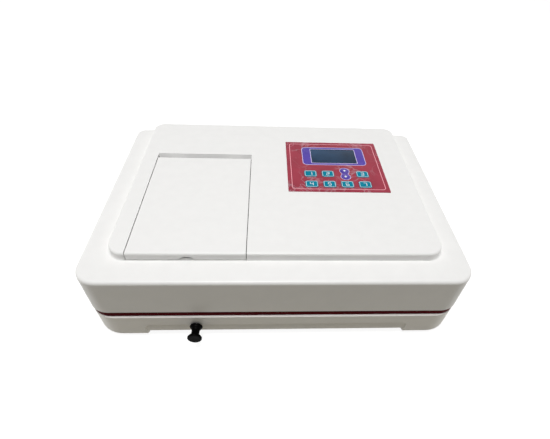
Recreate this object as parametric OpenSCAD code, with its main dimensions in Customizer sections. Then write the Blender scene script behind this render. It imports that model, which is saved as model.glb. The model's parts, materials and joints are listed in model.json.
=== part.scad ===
// Bench spectrophotometer: white moulded casing, hinged sample lid, keypad with display,
// pull-rod cell carriage, grating monochromator with its screw drive, lamps, boards and fan.
// Millimetres. +Z is up, the front faces -Y, and the origin is under the middle of the whole box.

/* [Casing] */
// Width of the top cover
case_w = 470; // [450:1:500]
// Depth of the top cover
case_d = 340; // [334:1:360]
// Height of the cover's side walls up to its shoulder
cover_h = 56.5; // [54:0.5:64]
// Plan radius of the cover's front corners
cover_r = 28; // [20:1:34]
// Plan radius of the cover's rear corners
cover_rear_r = 12; // [10:1:28]
// Radius of the cover's top edge
cover_edge_r = 4.5; // [3:0.5:7]
// Wall of the cover
cover_wall = 3; // [2.5:0.25:3.5]
// Height of the raised plateau above the shoulder
plateau_h = 11; // [10:0.5:13]
// Inset of the plateau from the cover's sides
plateau_inset = 31.7; // [28:0.5:36]
// Setback of the plateau from the cover's front
plateau_setback = 35; // [34:0.5:38]
// Plan radius of the plateau's front corners
plateau_r = 22; // [16:1:28]
// Plan radius of the plateau's rear corners
plateau_rear_r = 15; // [10:1:22]
// Radius of the plateau's top edge
plateau_edge_r = 3; // [2:0.5:4]
// Height of the accent band
band_h = 9; // [6:0.5:12]
// Setback of the accent band behind the cover's face
band_setback = 1.5; // [1:0.25:2]
// Wall of the accent band
band_wall = 4; // [3.5:0.25:5]
// Height of the base tub
base_h = 42; // [41:0.5:48]
// Overhang of the base tub beyond the cover
base_over = 1.5; // [1:0.25:3]
// Plan radius of the base tub's front corners
base_r = 35; // [30:1:38]
// Plan radius of the base tub's rear corners
base_rear_r = 18; // [15:1:34]
// Radius of the base tub's bottom edge
base_edge_r = 7; // [4:0.5:8]
// Wall of the base tub
base_wall = 3; // [2.5:0.25:4]
// Width of the base tub's rim
base_rim_w = 9; // [8:0.5:11]
// Height of the underside pocket beneath the tub floor
skirt_h = 5.7; // [5:0.1:6.5]
// Half length of the front recess and of the gap between the foot pads
recess_half = 170; // [150:1:175]
// Height of the front recess's top line above the tub's bottom
recess_h = 25; // [22:0.5:28]
// Depth of the front recess
recess_depth = 2.5; // [1.5:0.25:2.75]
// Radius of the front recess's corners
recess_r = 8; // [4:0.5:10]

/* [Feet and casing screws] */
// Height of a rubber foot
foot_h = 4; // [3:0.5:8]
// Radius of a rubber foot
foot_r = 10; // [7:0.5:12]
// Distance of the feet from the casing's sides
foot_in_x = 45; // [42:1:50]
// Distance of the feet from the casing's front and back
foot_in_y = 45; // [42:1:60]
// Distance of the casing screws from the casing's sides
screw_in_x = 25; // [22:0.5:27]
// Distance of the casing screws from the casing's front and back
screw_in_y = 25; // [22:0.5:27]
// Radius of a casing screw
screw_r = 2; // [1.5:0.25:2.5]
// Reach of a casing screw into the cover's boss
screw_grip = 14; // [8:1:24]
// Wall of a screw boss round its screw
boss_wall = 4; // [3:0.25:5]

/* [Sample lid] */
// Width of the lid opening
lid_open_w = 142.4; // [130:0.2:146]
// Length of the lid opening from the plateau's front
lid_open_d = 209.4; // [200:0.2:214]
// Distance of the lid opening from the casing's left side
lid_open_x = 53.9; // [50:0.1:60]
// Gap along the lid's sides
lid_gap = 1.1; // [0.8:0.1:1.6]
// Gap at the lid's rear, where the hinge lies
lid_rear_gap = 7.5; // [6.5:0.25:9]
// Thickness of the lid
lid_t = 3.5; // [3:0.25:4]
// Gap under the lid's front lip
lip_gap = 0.8; // [0.5:0.1:1.5]
// Width of the finger notch
notch_w = 19; // [14:1:24]
// Height of the finger notch
notch_h = 5; // [4.7:0.1:6]
// Radius of the hinge pins
hinge_pin_r = 0.9; // [0.7:0.05:1]
// Wall of the hinge knuckles round the pin
knuckle_wall = 0.85; // [0.7:0.05:0.9]
// Distance of the hinge axis behind the lid's rear edge
hinge_back = 2.5; // [2.3:0.05:2.6]
// Distance of the hinge axis under the lid's top
hinge_drop = 4.3; // [4.2:0.05:4.4]
// Length of a lid knuckle
knuckle_len = 16; // [10:1:24]
// Length of a hinge bracket lug
lug_len = 5; // [4:0.5:8]
// Distance of each hinge from the lid's side
hinge_in = 26; // [20:1:40]

/* [Keypad and display] */
// Width of the keypad overlay
panel_w = 146.5; // [140:0.5:150]
// Depth of the keypad overlay
panel_d = 132; // [126:0.5:136]
// Distance of the overlay's middle from the casing's middle
panel_x = 88.25; // [84:0.25:94]
// Distance of the overlay's rear edge from the casing's rear
panel_rear = 52.5; // [48:0.5:56]
// Thickness of the overlay
panel_t = 0.8; // [0.5:0.1:1.2]
// Width of the display window
lcd_w = 70.3; // [66:0.1:74]
// Depth of the display window
lcd_d = 39; // [36:0.5:42]
// Distance of the display window's middle from the overlay's rear edge
lcd_in = 40.5; // [38:0.5:42]
// Width of a rectangular key
key_w = 18.3; // [14:0.1:19]
// Depth of a rectangular key
key_d = 15.2; // [12:0.1:16]
// Distance between key columns
key_pitch_x = 26; // [25:0.1:28]
// Distance between key rows
key_pitch_y = 25.5; // [24:0.1:27]
// Distance of the front key row from the overlay's front edge
key_in = 17.7; // [16:0.1:19]
// Radius of a round key
round_key_r = 6.75; // [6:0.05:6.8]
// Distance between the two round keys
round_pitch = 15.2; // [15:0.1:17]
// Height of the keys above the overlay
key_proud = 0.5; // [0.5:0.1:1.2]
// Travel of a key
key_travel = 0.4; // [0.3:0.05:0.5]
// Gap round a key
key_gap = 0.3; // [0.25:0.05:0.4]
// Width of the flange that holds a key under the cover
key_flange = 0.9; // [0.6:0.1:1]

/* [Sample chamber] */
// Wall of the sample chamber
chamber_wall = 2; // [1.5:0.25:3]
// Inset of the chamber's sides behind the lid opening
chamber_in = 3; // [2:0.25:5]
// Height of the light beam
beam_z = 65; // [62:0.5:68]
// Distance of the beam behind the chamber's front
beam_in = 83.5; // [80:0.5:86]
// Height of the pull rod
rod_z = 28; // [26:0.5:30]
// Distance of the pull rod from the casing's middle, towards the left
rod_x = 104.8; // [100:0.2:112]
// Radius of the pull rod
rod_r = 3; // [2.5:0.25:3.5]
// Radius of the carriage rails
rail_r = 2.5; // [2:0.25:3]
// Distance between the carriage rails
rail_pitch = 36; // [34:0.5:44]
// Width of a cell pocket
cell_w = 12.8; // [12.6:0.1:13.2]
// Depth of a cell pocket
cell_deep = 36; // [30:1:40]
// Distance between cell pockets
cell_pitch = 20; // [18:0.5:21]
// Wall of the cell holder
cell_wall = 4; // [3:0.25:5]
// Radius of the pull knob's front flange
knob_front_r = 9; // [7:0.25:11]
// Radius of the pull knob's rear flange
knob_rear_r = 8; // [6:0.25:10]
// Radius of the pull knob's waist
knob_waist_r = 5; // [3.75:0.25:5.5]
// Length of the pull knob
knob_len = 19; // [18:0.5:28]
// Gap between the cover's front and the pull knob pushed in
knob_gap = 2.3; // [2:0.1:6]

/* [Monochromator] */
// Thickness of the optical bed
bed_t = 8; // [6:0.5:10]
// Height of the bed's top below the beam
bed_drop = 27; // [26:0.5:28]
// Distance of the bed's far end from the casing's side
bed_side = 23; // [20:0.5:30]
// Reach of the bed in front of the beam
bed_front = 40; // [36:0.5:44]
// Reach of the bed behind the light entry
bed_rear = 12; // [8:0.5:14]
// Distance of the grating's axis behind the beam
grating_back = 45; // [43:0.5:48]
// Distance of the light entry behind the grating's axis
entry_back = 55; // [52:0.5:58]
// Distance of the grating's axis from the bed's left end
grating_in = 77; // [74:0.5:80]
// Width and height of the grating
grating_w = 30; // [24:0.5:32]
// Radius of the grating's shaft
grating_shaft_r = 4; // [3:0.25:5]
// Length of the sine arm, from the grating's axis to the screw
arm_len = 55; // [54:0.5:58]
// Lead of the screw
screw_lead = 2; // [1:0.5:3]
// Travel of the nut each way
nut_travel = 10; // [6:0.5:11]
// Radius of the lead screw
lead_r = 3; // [2.5:0.25:3.5]
// Width of the stepper motor
stepper_w = 28; // [24:0.5:28.5]
// Length of the stepper motor
stepper_len = 32; // [28:1:40]
// Radius of the collimating mirror
mirror_r = 25; // [20:0.5:26]
// Radius of the filter wheel
wheel_r = 16; // [15:0.5:18]
// Radius of the circle of filters
filter_circle_r = 10.5; // [10:0.25:11]
// Number of filters
filter_count = 5; // [4:1:5]
// Radius of a filter's hole
filter_r = 3.5; // [2.5:0.25:4]

/* [Lamps, supply and rear] */
// Width of the lamp housing
lamp_box_w = 80; // [74:1:86]
// Depth of the lamp housing
lamp_box_d = 48; // [40:1:58]
// Height of the lamp housing
lamp_box_h = 84; // [78:1:88]
// Radius of the deuterium lamp's bulb
arc_lamp_r = 14; // [11:0.5:15]
// Radius of the tungsten lamp's bulb
bulb_r = 6.5; // [5:0.25:8]
// Width of the power supply
supply_w = 80; // [70:1:88]
// Depth of the power supply
supply_d = 42; // [36:1:54]
// Height of the power supply
supply_h = 58; // [40:1:62]
// Distance of the power supply from the casing's side
supply_side = 38; // [36:1:44]
// Width of the main board
board_w = 110; // [90:1:120]
// Depth of the main board
board_d = 100; // [80:1:106]
// Width of the cooling fan
fan_w = 50; // [45:0.5:51]
// Depth of the cooling fan
fan_t = 10; // [8:0.5:12]
// Distance of the fan's axis from the lamp housing's side
fan_in = 20; // [16:0.5:30]
// Number of fan blades
fan_blades = 7; // [5:1:9]
// Width of the mains inlet's flange
inlet_w = 31; // [29:0.5:34]
// Height of the mains inlet's flange
inlet_h = 24; // [22:0.5:26]
// Angle of the rocker switch each way
rocker_angle = 9; // [6:0.5:10]
// Distance of the rocker switch from the casing's side
switch_side = 55; // [50:1:60]
// Reach of the fuse carrier's cap behind the cover
fuse_reach = 9; // [7:0.5:12]

/* [Fits] */
// Radial clearance of a running fit
run_fit = 0.05; // [0.02:0.01:0.09]
// Gap between pieces that move past each other
move_gap = 0.3; // [0.25:0.05:0.4]

/* [Hidden] */
$fn = 48;
// Overshoot of a cut past the face that it opens
cut = 1;
// Segments of a rounded edge
arc_n = 6;

// Heights
floor_under = foot_h + skirt_h;
floor_z = floor_under + base_wall;
rim_z = foot_h + base_h;
band_top = rim_z + band_h;
shoulder_z = band_top + cover_h;
top_z = shoulder_z + plateau_h;
under_z = top_z - cover_wall;

// Casing faces
front_y = -case_d / 2;
rear_y = case_d / 2;
base_front_y = front_y - base_over;
plateau_front_y = front_y + plateau_setback;
plateau_w = case_w - 2 * plateau_inset;
boss_r = screw_r + boss_wall;
screw_x = case_w / 2 - screw_in_x;
screw_y = case_d / 2 - screw_in_y;
foot_x = case_w / 2 - foot_in_x;
foot_y = case_d / 2 - foot_in_y;
pad_rim = 3;
rim_step = 4;
screw_play = 0.2;
screw_head_h = 3;
hex_deep = 2;

// Lid and hinge
open_x0 = -case_w / 2 + lid_open_x;
open_x1 = open_x0 + lid_open_w;
open_y1 = plateau_front_y + lid_open_d;
lid_x0 = open_x0 + lid_gap;
lid_x1 = open_x1 - lid_gap;
lid_y1 = open_y1 - lid_rear_gap;
lid_under_z = top_z - lid_t;
lip_z = shoulder_z + lip_gap;
notch_x = (lid_x0 + lid_x1) / 2;
notch_r = (notch_w * notch_w / 4 + notch_h * notch_h) / (2 * notch_h);
knuckle_bore_r = hinge_pin_r + run_fit;
knuckle_r = knuckle_bore_r + knuckle_wall;
hinge_y = lid_y1 + hinge_back;
hinge_z = top_z - hinge_drop;
web_h = 1.2;
lug_drop = 0.5;
lug_gap = 0.1;
well_t = 2;
seal_in = 2;
seal_back = 0.5;
hinge_xs = [lid_x0 + hinge_in, lid_x1 - hinge_in];

// Sample chamber
seal_w = 3;
seal_h = 2.7;
flange_t = 2;
flange_z = lid_under_z - move_gap - seal_h;
flange_over = 2.5;
flange_clear = 1;
flange_front_y = plateau_front_y + lid_t + flange_clear;
chamber_x0 = open_x0 + chamber_in;
chamber_x1 = open_x1 - chamber_in;
chamber_y0 = flange_front_y + 2;
chamber_y1 = lid_y1 - 1;
chamber_floor_z = floor_z + chamber_wall;
beam_y = -(chamber_y0 + beam_in);
window_r = 8;
detector_r = 6;
detector_wall = 2;
detector_w = 40;
detector_d = 50;
detector_up = 30;
detector_len = 10;
detector_gap = 3;
detector_x1 = chamber_x0 - detector_gap;

// Cell carriage and pull rod
cells = 4;
carriage_travel = (cells - 1) * cell_pitch;
carriage_len = carriage_travel + cell_w + 2 * cell_wall;
carriage_y0 = -beam_y - cell_w / 2 - cell_wall;
carriage_half_h = 7;
rail_wall = 4;
holder_w = cell_w + 2 * cell_wall;
cell_below = 15;
cell_floor_z = beam_z - cell_below;
rod_grip = 12;
cell_port_w = 6;
cell_port_h = 14;
knob_front_t = 3;
knob_rear_t = 2.5;
knob_edge = 1;
knob_flare = 2;
bush_wall = 3;
bush_tail = 4;
knob_rear_y = front_y - knob_gap;
bush_r = rod_r + bush_wall;
bush_flange_r = bush_r + bush_wall;
bush_flange_t = 3;
recess_face_y = base_front_y + recess_depth;
tub_front_y = recess_face_y + base_wall;

// Optical bed
bed_gap = 9.7;
bed_x0 = chamber_x1 + bed_gap;
bed_x1 = case_w / 2 - bed_side;
grating_y = grating_back - beam_y;
entry_y = grating_y + entry_back;
bed_y0 = -beam_y - bed_front;
bed_y1 = entry_y + bed_rear;
bed_top = beam_z - bed_drop;
bed_z = bed_top - bed_t;
leg_r = 7;
leg_in = 12;
boss_drop = 6;
shaft_drop = 9;
grating_t = 8;
table_rim = 3;
collar_rim = 2.5;
arm_hub = 5;
fork_tail = 3;
mirror_t = 8;
mount_t = 6;
mount_rim = 3;
mount_margin = 2;
mount_x = bed_x1 - 2 * mount_t - mount_margin;
grating_x = bed_x0 + grating_in;

// Screw drive
drive_y = grating_y - arm_len;
arm_up = 3;
arm_z = bed_top + arm_up;
arm_t = 6;
arm_w = 10;
table_up = 3;
table_z = arm_z + arm_t + table_up;
table_t = 4;
drive_up = 16;
drive_z = bed_top + drive_up;
nut_w = 14;
nut_h = 12;
nut_pin_r = 2;
bearing_t = 6;
bearing_gap = 2;
bearing_half = 8;
collar_t = 3;
plate_t = 4;
pilot_end = 2;
bearing_reach = nut_w / 2 + nut_travel + bearing_gap;
stepper_x0 = grating_x + bearing_reach + bearing_t + 2 * collar_t;
stepper_pilot = 12;

// Light entry
slit_back = 11;
slit_x = grating_x - slit_back;
slit_t = 3;
slit_w = 2;
slit_h = 12;
slit_in = 2;
slit_up = 20;
slit_plate_w = 30;
wheel_t = 2;
wheel_z = beam_z + filter_circle_r;
filter_motor_r = 6;
filter_motor_len = 18;
wheel_gap = 2;
wheel_hub_r = 4;
pin_proud = 1;
wheel_x = slit_x - filter_motor_len - wheel_gap - wheel_t;
turn_mirror_in = 22;
turn_mirror_x = bed_x0 + turn_mirror_in;
turn_mirror_w = 24;
turn_motor_h = 14;
turn_mirror_t = 4;
turn_hub_r = 5;
turn_hub_h = 6;
filter_pin_r = 1.5;

// Lamp housing, supply and board
wall_in_y = rear_y - cover_wall;
lamp_fan_gap = 3;
lamp_x0 = bed_x0 + 2;
lamp_y1 = wall_in_y - fan_t - lamp_fan_gap;
lamp_y0 = lamp_y1 - lamp_box_d;
lamp_y = (lamp_y0 + lamp_y1) / 2;
lamp_wall = 2;
lamp_in = 25;
port_r = 8;
arc_lamp_x = lamp_x0 + lamp_in;
bulb_x = lamp_x0 + lamp_box_w - lamp_in;
arc_below = 26;
arc_base_z = beam_z - arc_below;
bulb_below = 16;
bulb_base_z = beam_z - bulb_below;
arc_lamp_h = 48;
bulb_h = 28;
holder_rim = 2;
vent_w = 5;
vent_pitch = 13;
vent_len = 12;
slot_end = 14;
supply_wall = 1.5;
supply_rear = 22;
supply_x1 = case_w / 2 - supply_side;
supply_x0 = supply_x1 - supply_w;
supply_y1 = wall_in_y - supply_rear;
supply_y0 = supply_y1 - supply_d;
board_gap = 20;
board_in = 22;
board_x0 = grating_x + board_gap;
board_y0 = bed_y0 + board_in;
board_t = 1.6;
chip_w = 26;
chip_h = 2.5;
header_w = 24;
header_d = 7;
header_h = 9;
can_r = 4;
can_h = 8;
can_pitch = 11;
standoff_h = 4;
standoff_r = 3;
standoff_in = 5;

// Keypad and display
panel_y1 = rear_y - panel_rear;
panel_y0 = panel_y1 - panel_d;
key_row_y = panel_y0 + key_in;
lcd_shift = 0.8;
lcd_x = panel_x + lcd_shift;
lcd_y = panel_y1 - lcd_in;
lcd_frame_side = 5;
lcd_frame_w = lcd_w + 2 * lcd_frame_side;
lcd_frame_end = 6;
lcd_frame_d = lcd_d + 2 * lcd_frame_end;
lcd_frame_h = 7.5;
lcd_board_side = 7;
lcd_board_w = lcd_frame_w + 2 * lcd_board_side;
lcd_board_end = 6.5;
lcd_board_d = lcd_frame_d + 2 * lcd_board_end;
key_flange_t = 1.5;
key_stem_h = 3;
key_r = 1.2;
key_edge = 0.3;
mid_column = 1.5;
panel_r = 1.5;
window_sink = 1.5;
post_in = 4;
post_r = 2.5;
pad_over = 12;
key_stem_w = 5;
key_flange_z = under_z - move_gap - key_flange_t;
key_foot_z = key_flange_z - key_stem_h;
dome_z = key_foot_z - key_travel - move_gap;
dome_gap = 0.4;
pad_board_z = dome_z - dome_gap - board_t;
pad_board_x0 = panel_x - mid_column * key_pitch_x - key_w / 2 - pad_over;
pad_board_x1 = panel_x + mid_column * key_pitch_x + key_w / 2 + pad_over;
pad_board_y0 = key_row_y - key_d / 2 - 4;
pad_board_y1 = lcd_y - lcd_board_d / 2 - 1;
round_x = panel_x + key_pitch_x / 2;
round_up = 0.7;
round_y = key_row_y + key_pitch_y + round_up;

// Rear fittings
fan_x = lamp_x0 + fan_in;
fan_up = 1.5;
fan_z = band_top + fan_w / 2 + fan_up;
fan_rim = 1.5;
fan_bore_r = fan_w / 2 - fan_rim;
fan_pin_r = 1.5;
fan_hub_r = 9;
spider_t = 2;
spoke_w = 3;
rotor_gap = 0.5;
blade_pitch = 32;
blade_fill = 0.85;
blade_root = 1.5;
blade_t = 1.2;
fan_hole_in = 4;
fan_hole_r = 1.75;
grille_slots = 6;
grille_in = 5;
grille_half = 1.5;
fan_y0 = wall_in_y - fan_t;
fitting_up = 20;
fitting_z = band_top + fitting_up;
fuse_r = 6.5;
fuse_deep = 18;
fuse_rim = 2.5;
fuse_flange_t = 3;
fuse_cap_r = 6;
fuse_slot_deep = 1.5;
fuse_slot_w = 1.6;
switch_gap = 32;
inlet_gap = 36;
fuse_gap = 34;
switch_x = case_w / 2 - switch_side;
inlet_x = switch_x - switch_gap;
fuse_x = inlet_x - inlet_gap;
port_x = fuse_x - fuse_gap;
port_w = 18;
port_h = 10;
port_wall = 1;
port_deep = 14;
port_reach = 5;
port_ear = 6;
inlet_rim = 3.5;
inlet_core_w = inlet_w - 2 * inlet_rim;
inlet_core_h = inlet_h - 2 * inlet_rim;
inlet_flange_t = 2.5;
inlet_deep = 20;
inlet_wall = 1.5;
socket_deep = 15;
blade_pin_pitch = 7;
blade_pin_w = 2;
blade_pin_h = 4;
blade_pin_len = 12;
earth_z = 1;
line_z = -4;
bezel_rim = 3;
bezel_wall = 1;
bezel_deep = 12;
bezel_floor = 1.5;
rocker_w = 12;
rocker_h = 18;
rocker_flange_t = 1.5;
rocker_pin_r = 1.25;
rocker_play = 1.2;
rocker_back = 3;
rocker_root = 4;
rocker_edge = 2;
rocker_face = 4;
rocker_y = rear_y - rocker_back;

// Whole part's place: the knob reaches furthest forward and the fuse cap furthest back
y_shift = (knob_len + knob_gap - fuse_reach) / 2;

key_cols = [0, 1, 2, 3];

// Points of an arc about a centre
function arc(cx, cy, r, a0, a1) =
    [for (i = [0:arc_n]) let(a = a0 + (a1 - a0) * i / arc_n) [cx + r * cos(a), cy + r * sin(a)]];

// Outline of a rectangle with rounded corners, centred
function rounded_outline(w, d, r) = concat(
    arc(w / 2 - r, d / 2 - r, r, 0, 90),
    arc(r - w / 2, d / 2 - r, r, 90, 180),
    arc(r - w / 2, r - d / 2, r, 180, 270),
    arc(w / 2 - r, r - d / 2, r, 270, 360));

// Edge sections, from the corner's axis outwards
function top_round(r, z0, z1, e) = concat([[0, z0], [r, z0]], arc(r - e, z1 - e, e, 0, 90), [[0, z1]]);
function bottom_round(r, z0, z1, e) = concat([[0, z0]], arc(r - e, z0 + e, e, -90, 0), [[r, z1], [0, z1]]);
function plain_edge(r, z0, z1) = [[0, z0], [r, z0], [r, z1], [0, z1]];

// Rectangular block whose edge follows a section, with its own corner radius at the front and at the rear
module swept_block(w, d, r, section, rear_r, rear_section) {
    z0 = section[0].y;
    z1 = section[len(section) - 1].y;
    x_front = w / 2 - r;
    y_front = r - d / 2;
    x_rear = w / 2 - rear_r;
    y_rear = d / 2 - rear_r;
    for (side = [0, 1])
        mirror([side, 0, 0]) {
            translate([x_rear, y_rear, 0]) rotate_extrude(angle = 90) polygon(rear_section);
            translate([x_front, y_front, 0]) rotate([0, 0, 270]) rotate_extrude(angle = 90) polygon(section);
            translate([x_front, y_rear, 0])
                rotate([90, 0, 0]) linear_extrude(y_rear - y_front) polygon(section);
        }
    translate([x_front, y_front, 0]) rotate([90, 0, 270]) linear_extrude(2 * x_front) polygon(section);
    translate([-x_rear, y_rear, 0]) rotate([90, 0, 90]) linear_extrude(2 * x_rear) polygon(rear_section);
    translate([-x_front, y_front, z0]) cube([2 * x_front, y_rear - y_front, z1 - z0]);
}

// Box between two corners
module block(a, b) {
    translate(a) cube(b - a);
}

// Round bars along each axis, starting at a point
module bar_x(p, r, len) { translate(p) rotate([0, 90, 0]) cylinder(r = r, h = len); }
module bar_y(p, r, len) { translate(p) rotate([-90, 0, 0]) cylinder(r = r, h = len); }
module bar_z(p, r, len) { translate(p) cylinder(r = r, h = len); }

// One child at each corner of a centred rectangle
module corners(x, y) {
    for (sx = [-1, 1])
        for (sy = [-1, 1])
            translate([sx * x, sy * y, 0]) children();
}

// White moulded tub with a raised floor, a skirt, foot pads and a shallow recess along its front
module base_tub() {
    w = case_w + 2 * base_over;
    d = case_d + 2 * base_over;
    color("ivory") {
        difference() {
            union() {
                difference() {
                    swept_block(w, d, base_r, bottom_round(base_r, foot_h, rim_z, base_edge_r),
                                base_rear_r, bottom_round(base_rear_r, foot_h, rim_z, base_edge_r));
                    tub_cavity(w, d);
                    tub_underside(w, d);
                }
                corners(screw_x, screw_y) bar_z([0, 0, floor_z - cut], boss_r, rim_z - floor_z + cut);
                corners(foot_x, foot_y) bar_z([0, 0, foot_h], foot_r + pad_rim, skirt_h + cut);
                board_standoffs();
            }
            front_recess();
            corners(screw_x, screw_y) screw_bore();
            bar_y([-rod_x, base_front_y - cut, rod_z], bush_r, base_wall + recess_depth + 2 * cut);
            floor_vents();
        }
    }
}

// Space inside the tub, under its rim
module tub_cavity(w, d) {
    in_w = w - 2 * base_wall;
    in_y1 = d / 2 - base_wall;
    in_d = in_y1 - tub_front_y;
    in_r = base_r - base_wall;
    in_rear_r = base_rear_r - base_wall;
    rim_r = base_r - base_rim_w;
    rim_rear_r = base_rear_r - base_rim_w;
    rim_in_w = w - 2 * base_rim_w;
    rim_in_d = d - 2 * base_rim_w;
    translate([0, (tub_front_y + in_y1) / 2, 0])
        swept_block(in_w, in_d, in_r, plain_edge(in_r, floor_z, rim_z - rim_step),
                    in_rear_r, plain_edge(in_rear_r, floor_z, rim_z - rim_step));
    swept_block(rim_in_w, rim_in_d, rim_r, plain_edge(rim_r, floor_z + cut, rim_z + cut),
                rim_rear_r, plain_edge(rim_rear_r, floor_z + cut, rim_z + cut));
}

// Pocket under the floor, open between the foot pads at the front and the back
module tub_underside(w, d) {
    side = base_edge_r + base_wall;
    r = base_r - side;
    rear_r = base_rear_r - side;
    swept_block(w - 2 * side, d - 2 * side, r, plain_edge(r, foot_h - cut, floor_under),
                rear_r, plain_edge(rear_r, foot_h - cut, floor_under));
    block([-recess_half, -d, foot_h - cut], [recess_half, d, floor_under]);
}

// Shallow recess along the tub's front, with rounded upper corners
module front_recess() {
    top = foot_h + recess_h;
    h = recess_h + recess_r + cut;
    translate([0, recess_face_y, top - h / 2])
        rotate([90, 0, 0])
            linear_extrude(recess_depth + cut) polygon(rounded_outline(2 * recess_half, h, recess_r));
}

// Clearance bore of a casing screw, with its counterbore
module screw_bore() {
    bar_z([0, 0, floor_under - cut], screw_r + screw_play, base_h);
}

// Posts under the main board
module board_standoffs() {
    translate([board_x0 + board_w / 2, board_y0 + board_d / 2, 0])
        corners(board_w / 2 - standoff_in, board_d / 2 - standoff_in)
            bar_z([0, 0, floor_z - cut], standoff_r, standoff_h + cut);
}

// Cooling slots in the tub's floor in front of the lamps
module floor_vents() {
    for (i = [0:4])
        translate([lamp_x0 + vent_pitch * (i + 0.5), lamp_y0 - 2 * vent_w, floor_under - cut])
            cube([vent_w, vent_len, base_wall + 2 * cut], center = false);
}

// Dark red ring between the tub's rim and the cover
module accent_band() {
    w = case_w - 2 * band_setback;
    d = case_d - 2 * band_setback;
    r = cover_r - band_setback;
    rear_r = cover_rear_r - band_setback;
    in_r = r - band_wall;
    in_rear_r = rear_r - band_wall;
    color("maroon")
        difference() {
            swept_block(w, d, r, plain_edge(r, rim_z, band_top), rear_r, plain_edge(rear_r, rim_z, band_top));
            swept_block(w - 2 * band_wall, d - 2 * band_wall, in_r,
                        plain_edge(in_r, rim_z - cut, band_top + cut),
                        in_rear_r, plain_edge(in_rear_r, rim_z - cut, band_top + cut));
        }
}

// Moulded cover with its raised plateau, lid opening, key holes and rear cut-outs
module top_cover() {
    color("white")
        difference() {
            union() {
                difference() {
                    union() {
                        swept_block(case_w, case_d, cover_r,
                                    top_round(cover_r, band_top, shoulder_z, cover_edge_r),
                                    cover_rear_r,
                                    top_round(cover_rear_r, band_top, shoulder_z, cover_edge_r));
                        plateau_block(0, shoulder_z - cover_wall, top_z);
                    }
                    cover_cavity();
                    plateau_block(cover_wall, shoulder_z - cover_wall - cut, under_z);
                }
                corners(screw_x, screw_y) bar_z([0, 0, rim_z], boss_r, shoulder_z - cover_wall - rim_z + cut);
                display_bosses();
                keypad_bosses();
                lid_well();
            }
            corners(screw_x, screw_y) bar_z([0, 0, rim_z - cut], screw_r, screw_grip + cut);
            block([open_x0, plateau_front_y - cut, shoulder_z], [open_x1, open_y1, top_z + cut]);
            block([lcd_x - lcd_w / 2, lcd_y - lcd_d / 2, under_z - cut],
                  [lcd_x + lcd_w / 2, lcd_y + lcd_d / 2, top_z + cut]);
            key_holes(under_z - cut, top_z + cut);
            rear_holes();
        }
}

// Plateau, from its front to the casing's rear, drawn in by a wall
module plateau_block(inset, z0, z1) {
    r = plateau_r - inset;
    rear_r = plateau_rear_r - inset;
    edge = max(plateau_edge_r - inset, 1);
    y0 = plateau_front_y + inset;
    d = rear_y - inset - y0;
    translate([0, y0 + d / 2, 0])
        swept_block(plateau_w - 2 * inset, d, r, top_round(r, z0, z1, edge),
                    rear_r, top_round(rear_r, z0, z1, edge));
}

// Space under the cover's shoulder
module cover_cavity() {
    r = cover_r - cover_wall;
    rear_r = cover_rear_r - cover_wall;
    edge = max(cover_edge_r - cover_wall, 1);
    z1 = shoulder_z - cover_wall;
    swept_block(case_w - 2 * cover_wall, case_d - 2 * cover_wall, r, top_round(r, band_top - cut, z1, edge),
                rear_r, top_round(rear_r, band_top - cut, z1, edge));
}

// Posts that carry the display module and the keypad board
module display_bosses() {
    z = under_z - lcd_frame_h;
    translate([lcd_x, lcd_y, 0])
        corners(lcd_board_w / 2 - post_in, lcd_board_d / 2 - post_in)
            bar_z([0, 0, z], post_r, lcd_frame_h + cut);
}
module keypad_bosses() {
    z = pad_board_z + board_t;
    for (x = [pad_board_x0 + post_in, pad_board_x1 - post_in])
        for (y = [pad_board_y0 + post_in, pad_board_y1 - post_in])
            bar_z([x, y, z], post_r, under_z - z + cut);
}

// Wall behind the lid's hinge, down to the chamber's flange
module lid_well() {
    block([open_x0 - well_t, open_y1, flange_z + lug_gap],
          [open_x1 + well_t, open_y1 + well_t, top_z - cover_wall / 2]);
}

// Plan of one rectangular key, grown by a margin
module key_plan(column, row, grow) {
    translate([panel_x + (column - mid_column) * key_pitch_x, key_row_y + row * key_pitch_y])
        square([key_w + 2 * grow, key_d + 2 * grow], center = true);
}

// Openings round all the keys, between two heights
module key_holes(z0, z1) {
    translate([0, 0, z0])
        linear_extrude(z1 - z0) {
            for (column = key_cols) key_plan(column, 0, key_gap);
            for (column = [0, 1, 3]) key_plan(column, 1, key_gap);
        }
    for (side = [-1, 1])
        bar_z([round_x, round_y + side * round_pitch / 2, z0], round_key_r + key_gap, z1 - z0);
}

// Cut-outs of the rear wall: fan slots, data port, fuse, inlet and switch
module rear_holes() {
    y0 = wall_in_y - cut;
    deep = cover_wall + 2 * cut;
    pitch = fan_w / (grille_slots + 1);
    for (i = [1:grille_slots])
        block([fan_x - fan_w / 2 + grille_in, y0, fan_z - fan_w / 2 + i * pitch - grille_half],
              [fan_x + fan_w / 2 - grille_in, y0 + deep, fan_z - fan_w / 2 + i * pitch + grille_half]);
    block([port_x - port_w / 2, y0, fitting_z - port_h / 2],
          [port_x + port_w / 2, y0 + deep, fitting_z + port_h / 2]);
    bar_y([fuse_x, y0, fitting_z], fuse_r, deep);
    block([inlet_x - inlet_core_w / 2, y0, fitting_z - inlet_core_h / 2],
          [inlet_x + inlet_core_w / 2, y0 + deep, fitting_z + inlet_core_h / 2]);
    block([switch_x - rocker_w / 2 - 1, y0, fitting_z - rocker_h / 2 - 1],
          [switch_x + rocker_w / 2 + 1, y0 + deep, fitting_z + rocker_h / 2 + 1]);
}

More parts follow.
